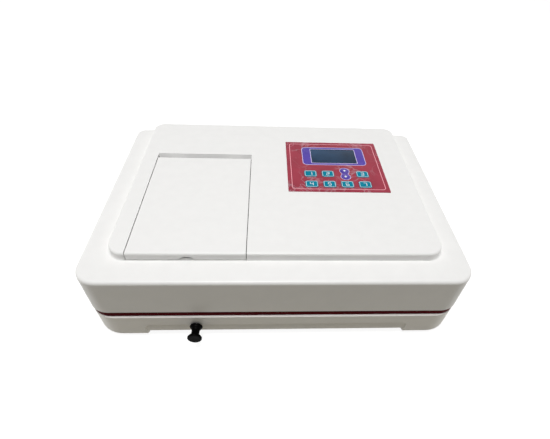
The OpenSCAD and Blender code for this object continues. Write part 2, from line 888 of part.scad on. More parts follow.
// Screws that pass up through the tub's bosses into the cover's bosses
module cover_screws() {
    head_h = screw_head_h;
    color("silver")
        corners(screw_x, screw_y) {
            bar_z([0, 0, floor_under], screw_r, rim_z + screw_grip - floor_under);
            difference() {
                bar_z([0, 0, floor_under - head_h], 2 * screw_r, head_h);
                translate([0, 0, floor_under - head_h - cut])
                    cylinder(r = screw_r, h = cut + hex_deep, $fn = 6);
            }
        }
}

// Rubber feet under the tub's pads
module rubber_feet() {
    color("dimgray")
        corners(foot_x, foot_y)
            rotate_extrude()
                polygon([[0, 0], [foot_r - 1, 0], [foot_r, 1], [foot_r, foot_h], [0, foot_h]]);
}

// Lid: flat top, front lip with a finger notch, and two hinge knuckles at its rear
module sample_lid() {
    color("white")
        difference() {
            union() {
                block([lid_x0, plateau_front_y, lid_under_z], [lid_x1, lid_y1, top_z]);
                block([lid_x0, plateau_front_y, lip_z], [lid_x1, plateau_front_y + lid_t, top_z]);
                for (x = hinge_xs) {
                    bar_x([x - knuckle_len / 2, hinge_y, hinge_z], knuckle_r, knuckle_len);
                    block([x - knuckle_len / 2, lid_y1 - knuckle_r, hinge_z + knuckle_r - web_h],
                          [x + knuckle_len / 2, hinge_y, hinge_z + knuckle_r]);
                }
            }
            for (x = hinge_xs)
                bar_x([x - knuckle_len / 2 - cut, hinge_y, hinge_z], knuckle_bore_r, knuckle_len + 2 * cut);
            bar_y([notch_x, plateau_front_y - cut, lip_z + notch_h - notch_r], notch_r, lid_t + 2 * cut);
        }
}

// Hinge pins through the knuckles and their brackets
module hinge_pins() {
    len = knuckle_len + 2 * (lug_len + move_gap);
    color("silver")
        for (x = hinge_xs)
            bar_x([x - len / 2, hinge_y, hinge_z], hinge_pin_r, len);
}

// Lugs on the chamber's flange that hold the hinge pins
module hinge_brackets() {
    color("gainsboro")
        for (x = hinge_xs)
            for (side = [-1, 1])
                translate([x + side * (knuckle_len / 2 + move_gap + lug_len / 2), 0, 0])
                    difference() {
                        block([-lug_len / 2, hinge_y - knuckle_r, flange_z],
                              [lug_len / 2, hinge_y + knuckle_r, hinge_z + knuckle_r - lug_drop]);
                        bar_x([-lug_len / 2 - cut, hinge_y, hinge_z], hinge_pin_r, lug_len + 2 * cut);
                    }
}

// Soft light seal on the chamber's flange, just under the lid
module lid_seal() {
    x0 = lid_x0 + seal_in;
    x1 = lid_x1 - seal_in;
    y0 = flange_front_y + seal_back;
    y1 = chamber_y1;
    color("dimgray")
        difference() {
            block([x0, y0, flange_z], [x1, y1, flange_z + seal_h]);
            block([x0 + seal_w, y0 + seal_w, flange_z - cut],
                  [x1 - seal_w, y1 - seal_w, flange_z + seal_h + cut]);
        }
}

// Printed overlay on the plateau, open round the keys and the display
module keypad_overlay() {
    color("crimson")
        difference() {
            translate([panel_x, (panel_y0 + panel_y1) / 2, top_z])
                linear_extrude(panel_t) polygon(rounded_outline(panel_w, panel_d, panel_r));
            key_holes(top_z - cut, top_z + panel_t + cut);
            block([lcd_x - lcd_w / 2, lcd_y - lcd_d / 2, top_z - cut],
                  [lcd_x + lcd_w / 2, lcd_y + lcd_d / 2, top_z + panel_t + cut]);
        }
}

// Clear pane over the display, set into the overlay and the cover
module display_window() {
    color("slategray")
        block([lcd_x - lcd_w / 2, lcd_y - lcd_d / 2, top_z - window_sink],
              [lcd_x + lcd_w / 2, lcd_y + lcd_d / 2, top_z + panel_t]);
}

// Display module: framed glass on its own circuit board
module display_module() {
    board_z = under_z - lcd_frame_h - board_t;
    color("darkslategray")
        translate([lcd_x, lcd_y, 0]) {
            block([-lcd_frame_w / 2, -lcd_frame_d / 2, under_z - lcd_frame_h],
                  [lcd_frame_w / 2, lcd_frame_d / 2, under_z]);
            block([-lcd_board_w / 2, -lcd_board_d / 2, board_z],
                  [lcd_board_w / 2, lcd_board_d / 2, board_z + board_t]);
        }
}

// Circuit board under the keys, with one switch dome for each
module keypad_board() {
    top = pad_board_z + board_t;
    color("seagreen") {
        block([pad_board_x0, pad_board_y0, pad_board_z], [pad_board_x1, pad_board_y1, top]);
        for (column = key_cols) dome(panel_x + (column - mid_column) * key_pitch_x, key_row_y);
        for (column = [0, 1, 3]) dome(panel_x + (column - mid_column) * key_pitch_x, key_row_y + key_pitch_y);
        for (side = [-1, 1]) dome(round_x, round_y + side * round_pitch / 2);
    }
}
module dome(x, y) {
    bar_z([x, y, pad_board_z], key_stem_w / 2, dome_z - pad_board_z);
}

// Rectangular key: a cap through the cover, a flange under it and a stem over its dome
module rect_key(column, row) {
    x = panel_x + (column - mid_column) * key_pitch_x;
    y = key_row_y + row * key_pitch_y;
    z1 = top_z + panel_t + key_proud;
    color("teal") {
        translate([x, y, key_flange_z])
            linear_extrude(z1 - key_flange_z) polygon(rounded_outline(key_w, key_d, key_r));
        translate([0, 0, key_flange_z]) linear_extrude(key_flange_t) key_plan(column, row, key_flange);
        bar_z([x, y, key_foot_z], key_stem_w / 2, key_flange_z - key_foot_z + cut);
    }
}
module key_rear_1() { rect_key(0, 1); }
module key_rear_2() { rect_key(1, 1); }
module key_rear_4() { rect_key(3, 1); }
module key_front_1() { rect_key(0, 0); }
module key_front_2() { rect_key(1, 0); }
module key_front_3() { rect_key(2, 0); }
module key_front_4() { rect_key(3, 0); }

// Round key, made like the rectangular ones
module round_key(side) {
    z1 = top_z + panel_t + key_proud;
    flange_r = min(round_key_r + key_flange, round_pitch / 2 - move_gap / 2);
    color("mediumpurple")
        translate([round_x, round_y + side * round_pitch / 2, 0])
            rotate_extrude()
                polygon([[0, key_foot_z], [key_stem_w / 2, key_foot_z], [key_stem_w / 2, key_flange_z],
                         [flange_r, key_flange_z], [flange_r, key_flange_z + key_flange_t],
                         [round_key_r, key_flange_z + key_flange_t], [round_key_r, z1 - key_edge],
                         [round_key_r - key_edge, z1], [0, z1]]);
}
module key_up() { round_key(1); }
module key_down() { round_key(-1); }

// Sheet-metal sample chamber: floor, four walls and a flange under the lid
module sample_chamber() {
    t = chamber_wall;
    color("dimgray")
        difference() {
            union() {
                block([chamber_x0, chamber_y0, floor_z], [chamber_x1, chamber_y1, flange_z]);
                block([open_x0 - flange_over, flange_front_y, flange_z - flange_t],
                      [open_x1 + flange_over, open_y1 + flange_over, flange_z]);
            }
            block([chamber_x0 + t, chamber_y0 + t, chamber_floor_z],
                  [chamber_x1 - t, chamber_y1 - t, flange_z + cut]);
            bar_x([chamber_x0 - cut, -beam_y, beam_z], window_r, chamber_x1 - chamber_x0 + 2 * cut);
            bar_y([-rod_x, chamber_y0 - cut, rod_z], rod_r + 1, t + 2 * cut);
        }
}

// Quartz windows where the beam enters and leaves the chamber
module chamber_windows() {
    color("lightblue")
        for (x = [chamber_x0, chamber_x1 - chamber_wall])
            bar_x([x, -beam_y, beam_z], window_r, chamber_wall);
}

// Two rails along the chamber that carry the cell carriage
module carriage_rails() {
    y0 = chamber_y0 + chamber_wall;
    color("silver")
        for (side = [-1, 1])
            bar_y([side * rail_pitch / 2 - rod_x, y0, rod_z], rail_r, chamber_y1 - chamber_wall - y0);
}

// Sliding cell carriage with a row of square pockets, crossed by the beam
module cell_carriage() {
    half_w = rail_pitch / 2 + rail_r + rail_wall;
    y1 = carriage_y0 + carriage_len;
    z0 = rod_z - carriage_half_h;
    z1 = rod_z + carriage_half_h;
    color("darkgray")
        translate([-rod_x, 0, 0])
            difference() {
                union() {
                    block([-half_w, carriage_y0, z0], [half_w, y1, z1]);
                    block([-holder_w / 2, carriage_y0, z1 - cut],
                          [holder_w / 2, y1, cell_floor_z + cell_deep]);
                }
                for (side = [-1, 1])
                    bar_y([side * rail_pitch / 2, carriage_y0 - cut, rod_z],
                          rail_r + run_fit, carriage_len + 2 * cut);
                bar_y([0, carriage_y0 - cut, rod_z], rod_r, rod_grip + cut);
                for (i = [0:cells - 1])
                    translate([0, i * cell_pitch - beam_y, 0]) {
                        block([-cell_w / 2, -cell_w / 2, cell_floor_z],
                              [cell_w / 2, cell_w / 2, beam_z + cell_deep]);
                        block([-half_w, -cell_port_w / 2, beam_z - cell_port_h / 2],
                              [half_w, cell_port_w / 2, beam_z + cell_port_h / 2]);
                    }
            }
}

// Rod from the knob to the carriage
module pull_rod() {
    y0 = knob_rear_y - rod_grip;
    color("silver") bar_y([-rod_x, y0, rod_z], rod_r, carriage_y0 + rod_grip - y0);
}

// Turned spool-shaped pull knob
module rod_knob() {
    rear_t = knob_rear_t;
    edge = knob_edge;
    neck = knob_len - knob_front_t;
    color("black")
        translate([-rod_x, knob_rear_y, rod_z])
            rotate([90, 0, 0])
                difference() {
                    rotate_extrude()
                        polygon(concat(
                            [[0, 0], [knob_rear_r - edge, 0], [knob_rear_r, edge]],
                            [[knob_rear_r, rear_t - edge], [knob_rear_r - edge, rear_t]],
                            [[knob_waist_r, rear_t + knob_flare], [knob_waist_r, neck - knob_flare],
                             [knob_front_r - edge, neck]],
                            [[knob_front_r, neck + edge], [knob_front_r, knob_len - edge],
                             [knob_front_r - edge, knob_len], [0, knob_len]]));
                    translate([0, 0, -cut]) cylinder(r = rod_r, h = rod_grip + cut);
                }
}

// Bush that guides the rod through the tub's front wall
module rod_bush() {
    color("goldenrod")
        difference() {
            union() {
                bar_y([-rod_x, recess_face_y, rod_z], bush_r, base_wall + bush_flange_t + bush_tail);
                bar_y([-rod_x, tub_front_y, rod_z], bush_flange_r, bush_flange_t);
            }
            bar_y([-rod_x, recess_face_y - cut, rod_z], rod_r + run_fit,
                  base_wall + bush_flange_t + bush_tail + 2 * cut);
        }
}

// Detector box on its pedestal, beside the chamber
module detector_housing() {
    t = detector_wall;
    x0 = detector_x1 - detector_w;
    z0 = beam_z - detector_d / 2;
    z1 = beam_z + detector_up;
    color("darkgray")
        difference() {
            union() {
                block([x0, -beam_y - detector_d / 2, z0], [detector_x1, -beam_y + detector_d / 2, z1]);
                block([x0 + detector_w / 5, -beam_y - detector_d / 4, floor_z],
                      [detector_x1 - detector_w / 5, -beam_y + detector_d / 4, z0 + t / 2]);
            }
            block([x0 + t, -beam_y - detector_d / 2 + t, z0 + t],
                  [detector_x1 - t, -beam_y + detector_d / 2 - t, z1 - t]);
            bar_x([detector_x1 - 2 * t, -beam_y, beam_z], detector_r, 3 * t);
        }
}

// Photodiode can in the detector box's wall
module detector() {
    color("goldenrod") {
        bar_x([detector_x1 - detector_len, -beam_y, beam_z], detector_r, detector_len);
        bar_x([detector_x1 - 2 * detector_wall, -beam_y, beam_z],
              detector_r + detector_wall, detector_wall);
    }
}

// Cast optical bed on four legs, with the grating's bearing boss
module optical_bed() {
    color("dimgray")
        difference() {
            union() {
                block([bed_x0, bed_y0, bed_z], [bed_x1, bed_y1, bed_top]);
                for (x = [bed_x0 + leg_in, bed_x1 - leg_in])
                    for (y = [bed_y0 + leg_in, bed_y1 - leg_in])
                        bar_z([x, y, floor_z], leg_r, bed_z - floor_z + cut);
                bar_z([grating_x, grating_y, bed_z - boss_drop],
                      2 * grating_shaft_r, arm_z - move_gap - bed_z + boss_drop);
            }
            bar_z([grating_x, grating_y, bed_z - boss_drop - cut],
                  grating_shaft_r + run_fit, bed_t + 2 * boss_drop + 2 * cut);
        }
}

// Upright plate with a narrow slit at the beam
module slit_plate(x, y, z1) {
    difference() {
        block([x, y - slit_plate_w / 2, bed_top], [x + slit_t, y + slit_plate_w / 2, z1]);
        block([x - cut, y - slit_w / 2, beam_z - slit_h / 2],
              [x + slit_t + cut, y + slit_w / 2, beam_z + slit_h / 2]);
    }
}
module exit_slit() {
    color("black") slit_plate(bed_x0 + slit_in, -beam_y, beam_z + slit_up);
}
module entrance_slit() {
    color("black") slit_plate(slit_x, entry_y, wheel_z + filter_motor_r + slit_in);
}

// Round mirror at the bed's far end, and the upright that carries it
module collimating_mirror() {
    color("lightsteelblue")
        bar_x([mount_x - mirror_t, grating_y, beam_z], mirror_r, mirror_t);
}
module mirror_mount() {
    half = mirror_r + mount_rim;
    color("darkgray") {
        block([mount_x, grating_y - half, bed_top], [mount_x + mount_t, grating_y + half, beam_z + half]);
        block([mount_x, grating_y - half, bed_top],
              [mount_x + 2 * mount_t, grating_y + half, bed_top + mount_t]);
    }
}

// Ruled grating on its turntable, with the shaft down through the bed
module grating() {
    color("plum")
        block([grating_x - grating_t / 2, grating_y - grating_w / 2, table_z + table_t],
              [grating_x + grating_t / 2, grating_y + grating_w / 2, table_z + table_t + grating_w]);
}
module grating_table() {
    z0 = bed_z - shaft_drop;
    color("silver") {
        bar_z([grating_x, grating_y, table_z], grating_w / 2 + table_rim, table_t);
        bar_z([grating_x, grating_y, z0], grating_shaft_r, table_z - z0 + cut);
        bar_z([grating_x, grating_y, z0], grating_shaft_r + collar_rim, shaft_drop - boss_drop - move_gap);
    }
}

// Arm clamped to the grating's shaft, with a fork round the nut's pin
module sine_arm() {
    reach = arm_len + nut_pin_r + fork_tail;
    color("goldenrod")
        translate([grating_x, grating_y, arm_z])
            difference() {
                union() {
                    bar_z([0, 0, 0], grating_shaft_r + arm_hub, arm_t);
                    block([-arm_w / 2, -reach, 0], [arm_w / 2, 0, arm_t]);
                }
                bar_z([0, 0, -cut], grating_shaft_r, arm_t + 2 * cut);
                block([-nut_pin_r - move_gap, -reach - cut, -cut],
                      [nut_pin_r + move_gap, -arm_len + nut_pin_r + fork_tail, arm_t + cut]);
            }
}

// Nut on the lead screw, with a pin down into the arm's fork
module drive_nut() {
    z0 = arm_z + arm_t + move_gap;
    color("goldenrod")
        difference() {
            union() {
                block([grating_x - nut_w / 2, drive_y - nut_w / 2, z0],
                      [grating_x + nut_w / 2, drive_y + nut_w / 2, drive_z + nut_h / 2]);
                bar_z([grating_x, drive_y, arm_z + 1], nut_pin_r, arm_t);
            }
            bar_x([grating_x - nut_w, drive_y, drive_z], lead_r + run_fit, 2 * nut_w);
        }
}

// Lead screw between its two bearings, driven by the stepper motor
module lead_screw() {
    x0 = grating_x - bearing_reach - bearing_t - collar_t;
    color("silver") {
        bar_x([x0, drive_y, drive_z], lead_r, stepper_x0 + stepper_pilot - x0);
        bar_x([x0, drive_y, drive_z], lead_r + collar_rim, collar_t - move_gap);
    }
}
module screw_bearings() {
    color("darkgray")
        for (x = [grating_x - bearing_reach - bearing_t, grating_x + bearing_reach])
            difference() {
                block([x, drive_y - bearing_half, bed_top],
                      [x + bearing_t, drive_y + bearing_half, drive_z + bearing_half]);
                bar_x([x - cut, drive_y, drive_z], lead_r + run_fit, bearing_t + 2 * cut);
            }
}
module wavelength_motor() {
    half = stepper_w / 2;
    color("dimgray")
        difference() {
            union() {
                block([stepper_x0, drive_y - half, drive_z - half],
                      [stepper_x0 + stepper_len, drive_y + half, drive_z + half]);
                block([stepper_x0, drive_y - half, bed_top],
                      [stepper_x0 + plate_t, drive_y + half, drive_z]);
            }
            bar_x([stepper_x0 - cut, drive_y, drive_z], lead_r + run_fit, stepper_pilot + pilot_end + cut);
        }
}

// Filter wheel on the small motor that hangs on the entrance slit's plate
module filter_wheel() {
    color("dimgray")
        translate([wheel_x, entry_y, wheel_z])
            difference() {
                union() {
                    bar_x([0, 0, 0], wheel_r, wheel_t);
                    bar_x([0, 0, 0], wheel_hub_r, wheel_t + wheel_gap - move_gap);
                }
                for (i = [0:filter_count - 1])
                    rotate([360 / filter_count * i, 0, 0])
                        bar_x([-cut, 0, -filter_circle_r], filter_r, wheel_t + 2 * cut);
                bar_x([-cut, 0, 0], filter_pin_r + run_fit, wheel_t + wheel_gap + 2 * cut);
            }
}
module filter_motor() {
    color("silver") {
        bar_x([slit_x - filter_motor_len, entry_y, wheel_z], filter_motor_r, filter_motor_len);
        bar_x([wheel_x - pin_proud, entry_y, wheel_z], filter_pin_r,
              pin_proud + wheel_t + wheel_gap + pin_proud);
    }
}

// Mirror that turns between the two lamps, on its motor
module turning_mirror() {
    z0 = bed_top + turn_motor_h + move_gap;
    color("lightsteelblue")
        translate([turn_mirror_x, entry_y, 0])
            rotate([0, 0, 45])
                difference() {
                    union() {
                        block([-turn_mirror_w / 2, -turn_mirror_t / 2, z0],
                              [turn_mirror_w / 2, turn_mirror_t / 2, beam_z + turn_mirror_w / 2]);
                        bar_z([0, 0, z0], turn_hub_r, turn_hub_h);
                    }
                    bar_z([0, 0, z0 - cut], filter_pin_r + run_fit, turn_hub_h - pin_proud + cut);
                }
}
module mirror_motor() {
    color("dimgray") {
        bar_z([turn_mirror_x, entry_y, bed_top], filter_motor_r, turn_motor_h);
        bar_z([turn_mirror_x, entry_y, bed_top], filter_pin_r, turn_motor_h + turn_hub_h - 2 * pin_proud);
    }
}

// Sheet-metal lamp housing, open at the top, with two light ports towards the optics
module lamp_housing() {
    t = lamp_wall;
    x1 = lamp_x0 + lamp_box_w;
    z1 = floor_z + lamp_box_h;
    color("silver")
        difference() {
            block([lamp_x0, lamp_y0, floor_z], [x1, lamp_y1, z1]);
            block([lamp_x0 + t, lamp_y0 + t, floor_z + t], [x1 - t, lamp_y1 - t, z1 + cut]);
            for (x = [arc_lamp_x, bulb_x])
                bar_y([x, lamp_y0 - cut, beam_z], port_r, t + 2 * cut);
            for (i = [0:4])
                block([lamp_x0 + vent_pitch * (i + 0.8), lamp_y1 - t - cut, floor_z + slot_end],
                      [lamp_x0 + vent_pitch * (i + 0.8) + vent_w, lamp_y1 + cut, z1 - slot_end]);
        }
}

// Ceramic holders on the housing's floor
module lamp_holders() {
    z0 = floor_z + lamp_wall;
    color("linen") {
        bar_z([arc_lamp_x, lamp_y, z0], arc_lamp_r + holder_rim, arc_base_z - z0);
        bar_z([bulb_x, lamp_y, z0], bulb_r + holder_rim, bulb_base_z - z0);
    }
}

// Glass lamps, domed at the top
module lamp_glass(x, r, z0, z1) {
    translate([x, lamp_y, 0])
        rotate_extrude()
            polygon(concat([[0, z0], [r, z0]], arc(0, z1 - r, r, 0, 90)));
}
module deuterium_lamp() {
    color("lightcyan") lamp_glass(arc_lamp_x, arc_lamp_r, arc_base_z, arc_base_z + arc_lamp_h);
}
module tungsten_lamp() {
    color("lightcyan") lamp_glass(bulb_x, bulb_r, bulb_base_z, bulb_base_z + bulb_h);
}

// Caged power supply on the tub's floor, with vents in its top
module power_supply() {
    t = supply_wall;
    z1 = floor_z + supply_h;
    slots = floor((supply_w - 2 * vent_pitch) / (2 * vent_w)) + 1;
    color("silver")
        difference() {
            block([supply_x0, supply_y0, floor_z], [supply_x1, supply_y1, z1]);
            block([supply_x0 + t, supply_y0 + t, floor_z + t], [supply_x1 - t, supply_y1 - t, z1 - t]);
            for (i = [0:slots - 1])
                translate([supply_x0 + vent_pitch + (2 * i - 0.5) * vent_w, supply_y0 + vent_len, z1 - 2 * t])
                    cube([vent_w, supply_d - 2 * vent_len, 2 * t + cut]);
        }
}

// Main circuit board under the bed, with its processor, header and capacitors
module main_board() {
    z0 = floor_z + standoff_h;
    z1 = z0 + board_t;
    color("seagreen")
        translate([board_x0, board_y0, 0]) {
            block([0, 0, z0], [board_w, board_d, z1]);
            translate([(board_w - chip_w) / 2, (board_d - chip_w) / 2, z0])
                cube([chip_w, chip_w, board_t + chip_h]);
            translate([3 * standoff_in, board_d - standoff_in - header_d, z0])
                cube([header_w, header_d, board_t + header_h]);
            for (i = [0:3])
                bar_z([board_w - 3 * standoff_in - can_pitch * i, 3 * standoff_in, z0],
                      can_r, board_t + can_h);
        }
}

// Axial fan: square frame with its spider, and the bladed rotor on the spider's pin
module fan_frame() {
    hole_out = fan_w / 2 - fan_hole_in;
    hub_t = spider_t;
    color("black")
        difference() {
            union() {
                difference() {
                    block([fan_x - fan_w / 2, fan_y0, fan_z - fan_w / 2],
                          [fan_x + fan_w / 2, wall_in_y, fan_z + fan_w / 2]);
                    bar_y([fan_x, fan_y0 - cut, fan_z], fan_bore_r, fan_t + 2 * cut);
                }
                bar_y([fan_x, fan_y0, fan_z], fan_hub_r, hub_t);
                bar_y([fan_x, fan_y0, fan_z], fan_pin_r, fan_t - spider_t);
                for (a = [90, 210, 330])
                    translate([fan_x, fan_y0, fan_z])
                        rotate([0, a, 0])
                            block([fan_hub_r - cut, 0, -spoke_w / 2], [fan_bore_r + 1, hub_t, spoke_w / 2]);
            }
            for (sx = [-1, 1])
                for (sz = [-1, 1])
                    bar_y([fan_x + sx * hole_out, fan_y0 - cut, fan_z + sz * hole_out],
                          fan_hole_r, fan_t + 2 * cut);
        }
}
module fan_rotor() {
    y0 = fan_y0 + spider_t + rotor_gap;
    depth = fan_t - 2 * spider_t;
    chord = blade_fill * depth / sin(blade_pitch);
    color("dimgray")
        translate([fan_x, y0, fan_z])
            difference() {
                union() {
                    bar_y([0, 0, 0], fan_hub_r, depth);
                    for (i = [0:fan_blades - 1])
                        rotate([0, 360 / fan_blades * i, 0])
                            translate([fan_hub_r - blade_root, depth / 2, 0])
                                rotate([blade_pitch, 0, 0])
                                    block([0, -blade_t / 2, -chord / 2],
                                          [fan_bore_r - fan_hub_r, blade_t / 2, chord / 2]);
                }
                bar_y([0, -cut, 0], fan_pin_r + run_fit, depth + 2 * cut);
            }
}

// Mains inlet: flanged body with a socket and three pins
module mains_inlet() {
    y1 = rear_y + inlet_flange_t;
    slot_w = inlet_core_w - 2 * inlet_wall;
    slot_h = inlet_core_h - 2 * inlet_wall;
    color("black")
        translate([inlet_x, 0, fitting_z]) {
            difference() {
                union() {
                    block([-inlet_w / 2, rear_y, -inlet_h / 2], [inlet_w / 2, y1, inlet_h / 2]);
                    block([-inlet_core_w / 2, rear_y - inlet_deep, -inlet_core_h / 2],
                          [inlet_core_w / 2, y1, inlet_core_h / 2]);
                }
                block([-slot_w / 2, y1 - socket_deep, -slot_h / 2], [slot_w / 2, y1 + cut, slot_h / 2]);
            }
            for (side = [-1, 0, 1])
                translate([side * blade_pin_pitch, y1 - socket_deep - cut, side == 0 ? earth_z : line_z])
                    block([-blade_pin_w / 2, 0, 0], [blade_pin_w / 2, blade_pin_len, blade_pin_h]);
        }
}

// Rocker switch in its bezel, turning on a pin across the bezel
module switch_bezel() {
    y1 = rear_y + rocker_flange_t;
    half_w = rocker_w / 2;
    half_h = rocker_h / 2;
    color("black")
        translate([switch_x, 0, fitting_z]) {
            difference() {
                union() {
                    block([-half_w - bezel_rim, rear_y, -half_h - bezel_rim],
                          [half_w + bezel_rim, y1, half_h + bezel_rim]);
                    block([-half_w - bezel_wall, rear_y - bezel_deep, -half_h - bezel_wall],
                          [half_w + bezel_wall, y1, half_h + bezel_wall]);
                }
                block([-half_w, rear_y - bezel_deep + bezel_floor, -half_h], [half_w, y1 + cut, half_h]);
            }
            bar_x([-half_w - cut, rocker_y, 0], rocker_pin_r, rocker_w + 2 * cut);
        }
}
module rocker_switch() {
    // The face is two flats that meet in a shallow V, resting with one half pressed in
    w = rocker_w - 2 * move_gap;
    half_h = rocker_h / 2 - rocker_play;
    rise = half_h * tan(rocker_angle);
    color("crimson")
        translate([switch_x, rocker_y, fitting_z])
            rotate([rocker_angle, 0, 0]) difference() {
                translate([-w / 2, 0, 0])
                    rotate([90, 0, 90])
                        linear_extrude(w)
                            polygon([[-rocker_back, -rocker_root], [-rocker_back, rocker_root],
                                     [rocker_edge, half_h], [rocker_face + rise, half_h], [rocker_face, 0],
                                     [rocker_face + rise, -half_h], [rocker_edge, -half_h]]);
                bar_x([-w, 0, 0], rocker_pin_r + run_fit, 2 * w);
            }
}

// Fuse carrier: threaded body through the wall with a finger cap
module fuse_carrier() {
    color("black") {
        bar_y([fuse_x, rear_y - fuse_deep, fitting_z], fuse_r, fuse_deep);
        bar_y([fuse_x, rear_y, fitting_z], fuse_r + fuse_rim, fuse_flange_t);
        difference() {
            bar_y([fuse_x, rear_y, fitting_z], fuse_cap_r, fuse_reach);
            block([fuse_x - fuse_r, rear_y + fuse_reach - fuse_slot_deep, fitting_z - fuse_slot_w / 2],
                  [fuse_x + fuse_r, rear_y + fuse_reach + cut, fitting_z + fuse_slot_w / 2]);
        }
    }
}

// Data port: metal shell through the wall
module data_port() {
    t = port_wall;
    half_w = port_w / 2;
    half_h = port_h / 2;
    color("silver")
        translate([port_x, 0, fitting_z])
            difference() {
                union() {
                    block([-half_w, rear_y - port_deep, -half_h], [half_w, rear_y + port_reach, half_h]);
                    block([-half_w - port_ear, rear_y, -half_h - t],
                          [half_w + port_ear, rear_y + t, half_h + t]);
                }
                block([-half_w + t, rear_y - t, -half_h + t],
                      [half_w - t, rear_y + port_reach + cut, half_h - t]);
            }
}

// The part stands with its box's middle over the origin
module placed() {
    translate([0, y_shift, 0]) children();
}

placed() base_tub();
placed() accent_band();
placed() top_cover();
placed() cover_screws();
placed() rubber_feet();
placed() sample_lid();
placed() hinge_pins();
placed() hinge_brackets();
placed() lid_seal();
placed() keypad_overlay();
placed() display_window();
placed() display_module();
placed() keypad_board();
placed() key_rear_1();
placed() key_rear_2();
placed() key_rear_4();
placed() key_front_1();
placed() key_front_2();
placed() key_front_3();
placed() key_front_4();
placed() key_up();
placed() key_down();
placed() sample_chamber();
placed() chamber_windows();
placed() carriage_rails();
placed() cell_carriage();
placed() pull_rod();
placed() rod_knob();
placed() rod_bush();
placed() detector_housing();
placed() detector();
placed() optical_bed();
placed() exit_slit();
placed() entrance_slit();
placed() collimating_mirror();
placed() mirror_mount();
placed() grating();
placed() grating_table();
placed() sine_arm();
placed() drive_nut();
placed() lead_screw();
placed() screw_bearings();
placed() wavelength_motor();
placed() filter_wheel();
placed() filter_motor();
placed() turning_mirror();
placed() mirror_motor();
placed() lamp_housing();
placed() lamp_holders();
placed() deuterium_lamp();
placed() tungsten_lamp();
placed() power_supply();
placed() main_board();
placed() fan_frame();
placed() fan_rotor();
placed() mains_inlet();
placed() rocker_switch();
placed() switch_bezel();
placed() fuse_carrier();
placed() data_port();
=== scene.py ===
"""Looks of a bench spectrophotometer: moulded casing, sample lid, keypad, pull knob and rear fittings.

Lengths are in metres. The front faces -y, and every piece stands at the origin in the frame of the CAD model.
"""

import json
import logging
import math
from dataclasses import dataclass
from enum import Enum

import bpy
import numpy as np
from bpy.types import Material, Mesh, Node, NodeSocket, Object
from mathutils import Matrix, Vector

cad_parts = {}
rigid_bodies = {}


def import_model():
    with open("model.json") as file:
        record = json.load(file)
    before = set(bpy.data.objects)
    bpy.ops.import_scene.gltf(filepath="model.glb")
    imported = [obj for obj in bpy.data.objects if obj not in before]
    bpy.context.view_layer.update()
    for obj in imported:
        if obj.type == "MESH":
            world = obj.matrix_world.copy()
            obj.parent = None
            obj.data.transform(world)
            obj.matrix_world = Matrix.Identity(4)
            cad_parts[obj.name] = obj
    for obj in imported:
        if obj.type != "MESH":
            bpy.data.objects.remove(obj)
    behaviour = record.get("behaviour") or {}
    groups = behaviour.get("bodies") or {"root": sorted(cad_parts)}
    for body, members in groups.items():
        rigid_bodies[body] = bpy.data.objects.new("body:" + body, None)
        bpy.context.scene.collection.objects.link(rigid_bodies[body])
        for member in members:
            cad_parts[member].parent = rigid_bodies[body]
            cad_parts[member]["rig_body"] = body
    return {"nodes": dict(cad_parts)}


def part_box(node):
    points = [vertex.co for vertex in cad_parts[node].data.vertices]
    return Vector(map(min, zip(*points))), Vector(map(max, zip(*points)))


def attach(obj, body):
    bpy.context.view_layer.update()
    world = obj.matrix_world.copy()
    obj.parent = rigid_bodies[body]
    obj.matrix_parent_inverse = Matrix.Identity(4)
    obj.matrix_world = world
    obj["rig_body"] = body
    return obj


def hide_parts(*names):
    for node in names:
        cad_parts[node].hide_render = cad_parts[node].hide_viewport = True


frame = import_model()

LOG = logging.getLogger("spectrophotometer")
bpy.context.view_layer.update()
Pair = tuple[float, float]
Triple = tuple[float, float, float]
MM = 0.001
# Edges sharper than this many degrees stay sharp in the shading
SHARP = 35.0
# Segments per corner of the casing, per corner of a plate and across a small rounded edge
CORNER_STEPS, PLAN_STEPS, EDGE_STEPS = 10, 8, 4
# Least radius of a plate's or a line's corner, as a share of its edge or width
LEAST_SHARE = 0.25
# Shares of a side's length where the casing's loops have points
SIDE_SHARES = np.linspace(0, 1, 13)[1:-1]


def span(node: str) -> tuple[np.ndarray, np.ndarray]:
    """Gives a node's lowest and highest corners at rest, in metres.

    Args:
        node: name of the CAD node.

    Returns:
        The two corners as arrays.
    """
    low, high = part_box(node)
    return np.array(low), np.array(high)


def middle_of(node: str) -> np.ndarray:
    """Gives the middle of a node's box at rest."""
    return np.add(*span(node)) / 2


def ease(share: np.ndarray) -> np.ndarray:
    """Smooth step: a share, held between 0 and 1, through the cubic that is flat at both ends."""
    share = np.clip(share, 0, 1)
    return share * share * (3 - 2 * share)


class Ends(Enum):
    """How a mesh's loops close at their ends."""

    OPEN = "open"
    CAPPED = "capped"


class Symbol(Enum):
    """Ways that a key's arrow points, as the sign of its y."""

    UP = 1
    DOWN = -1


class Axis(Enum):
    """Ways that a turned piece's length runs, as the order in which its two radii and length become x, y and z."""

    X = (2, 0, 1)
    Y = (1, 2, 0)
    Z = (0, 1, 2)


def arc(radius: float, start: float, stop: float, steps: int) -> np.ndarray:
    """Points of a circular arc about the origin: radius times cosine and sine of evenly spaced angles.

    Args:
        radius: arc radius.
        start: first angle in degrees.
        stop: last angle in degrees.
        steps: number of segments.

    Returns:
        An array of steps + 1 points.
    """
    angle = np.radians(np.linspace(start, stop, steps + 1))
    return radius * np.stack([np.cos(angle), np.sin(angle)], axis=1)


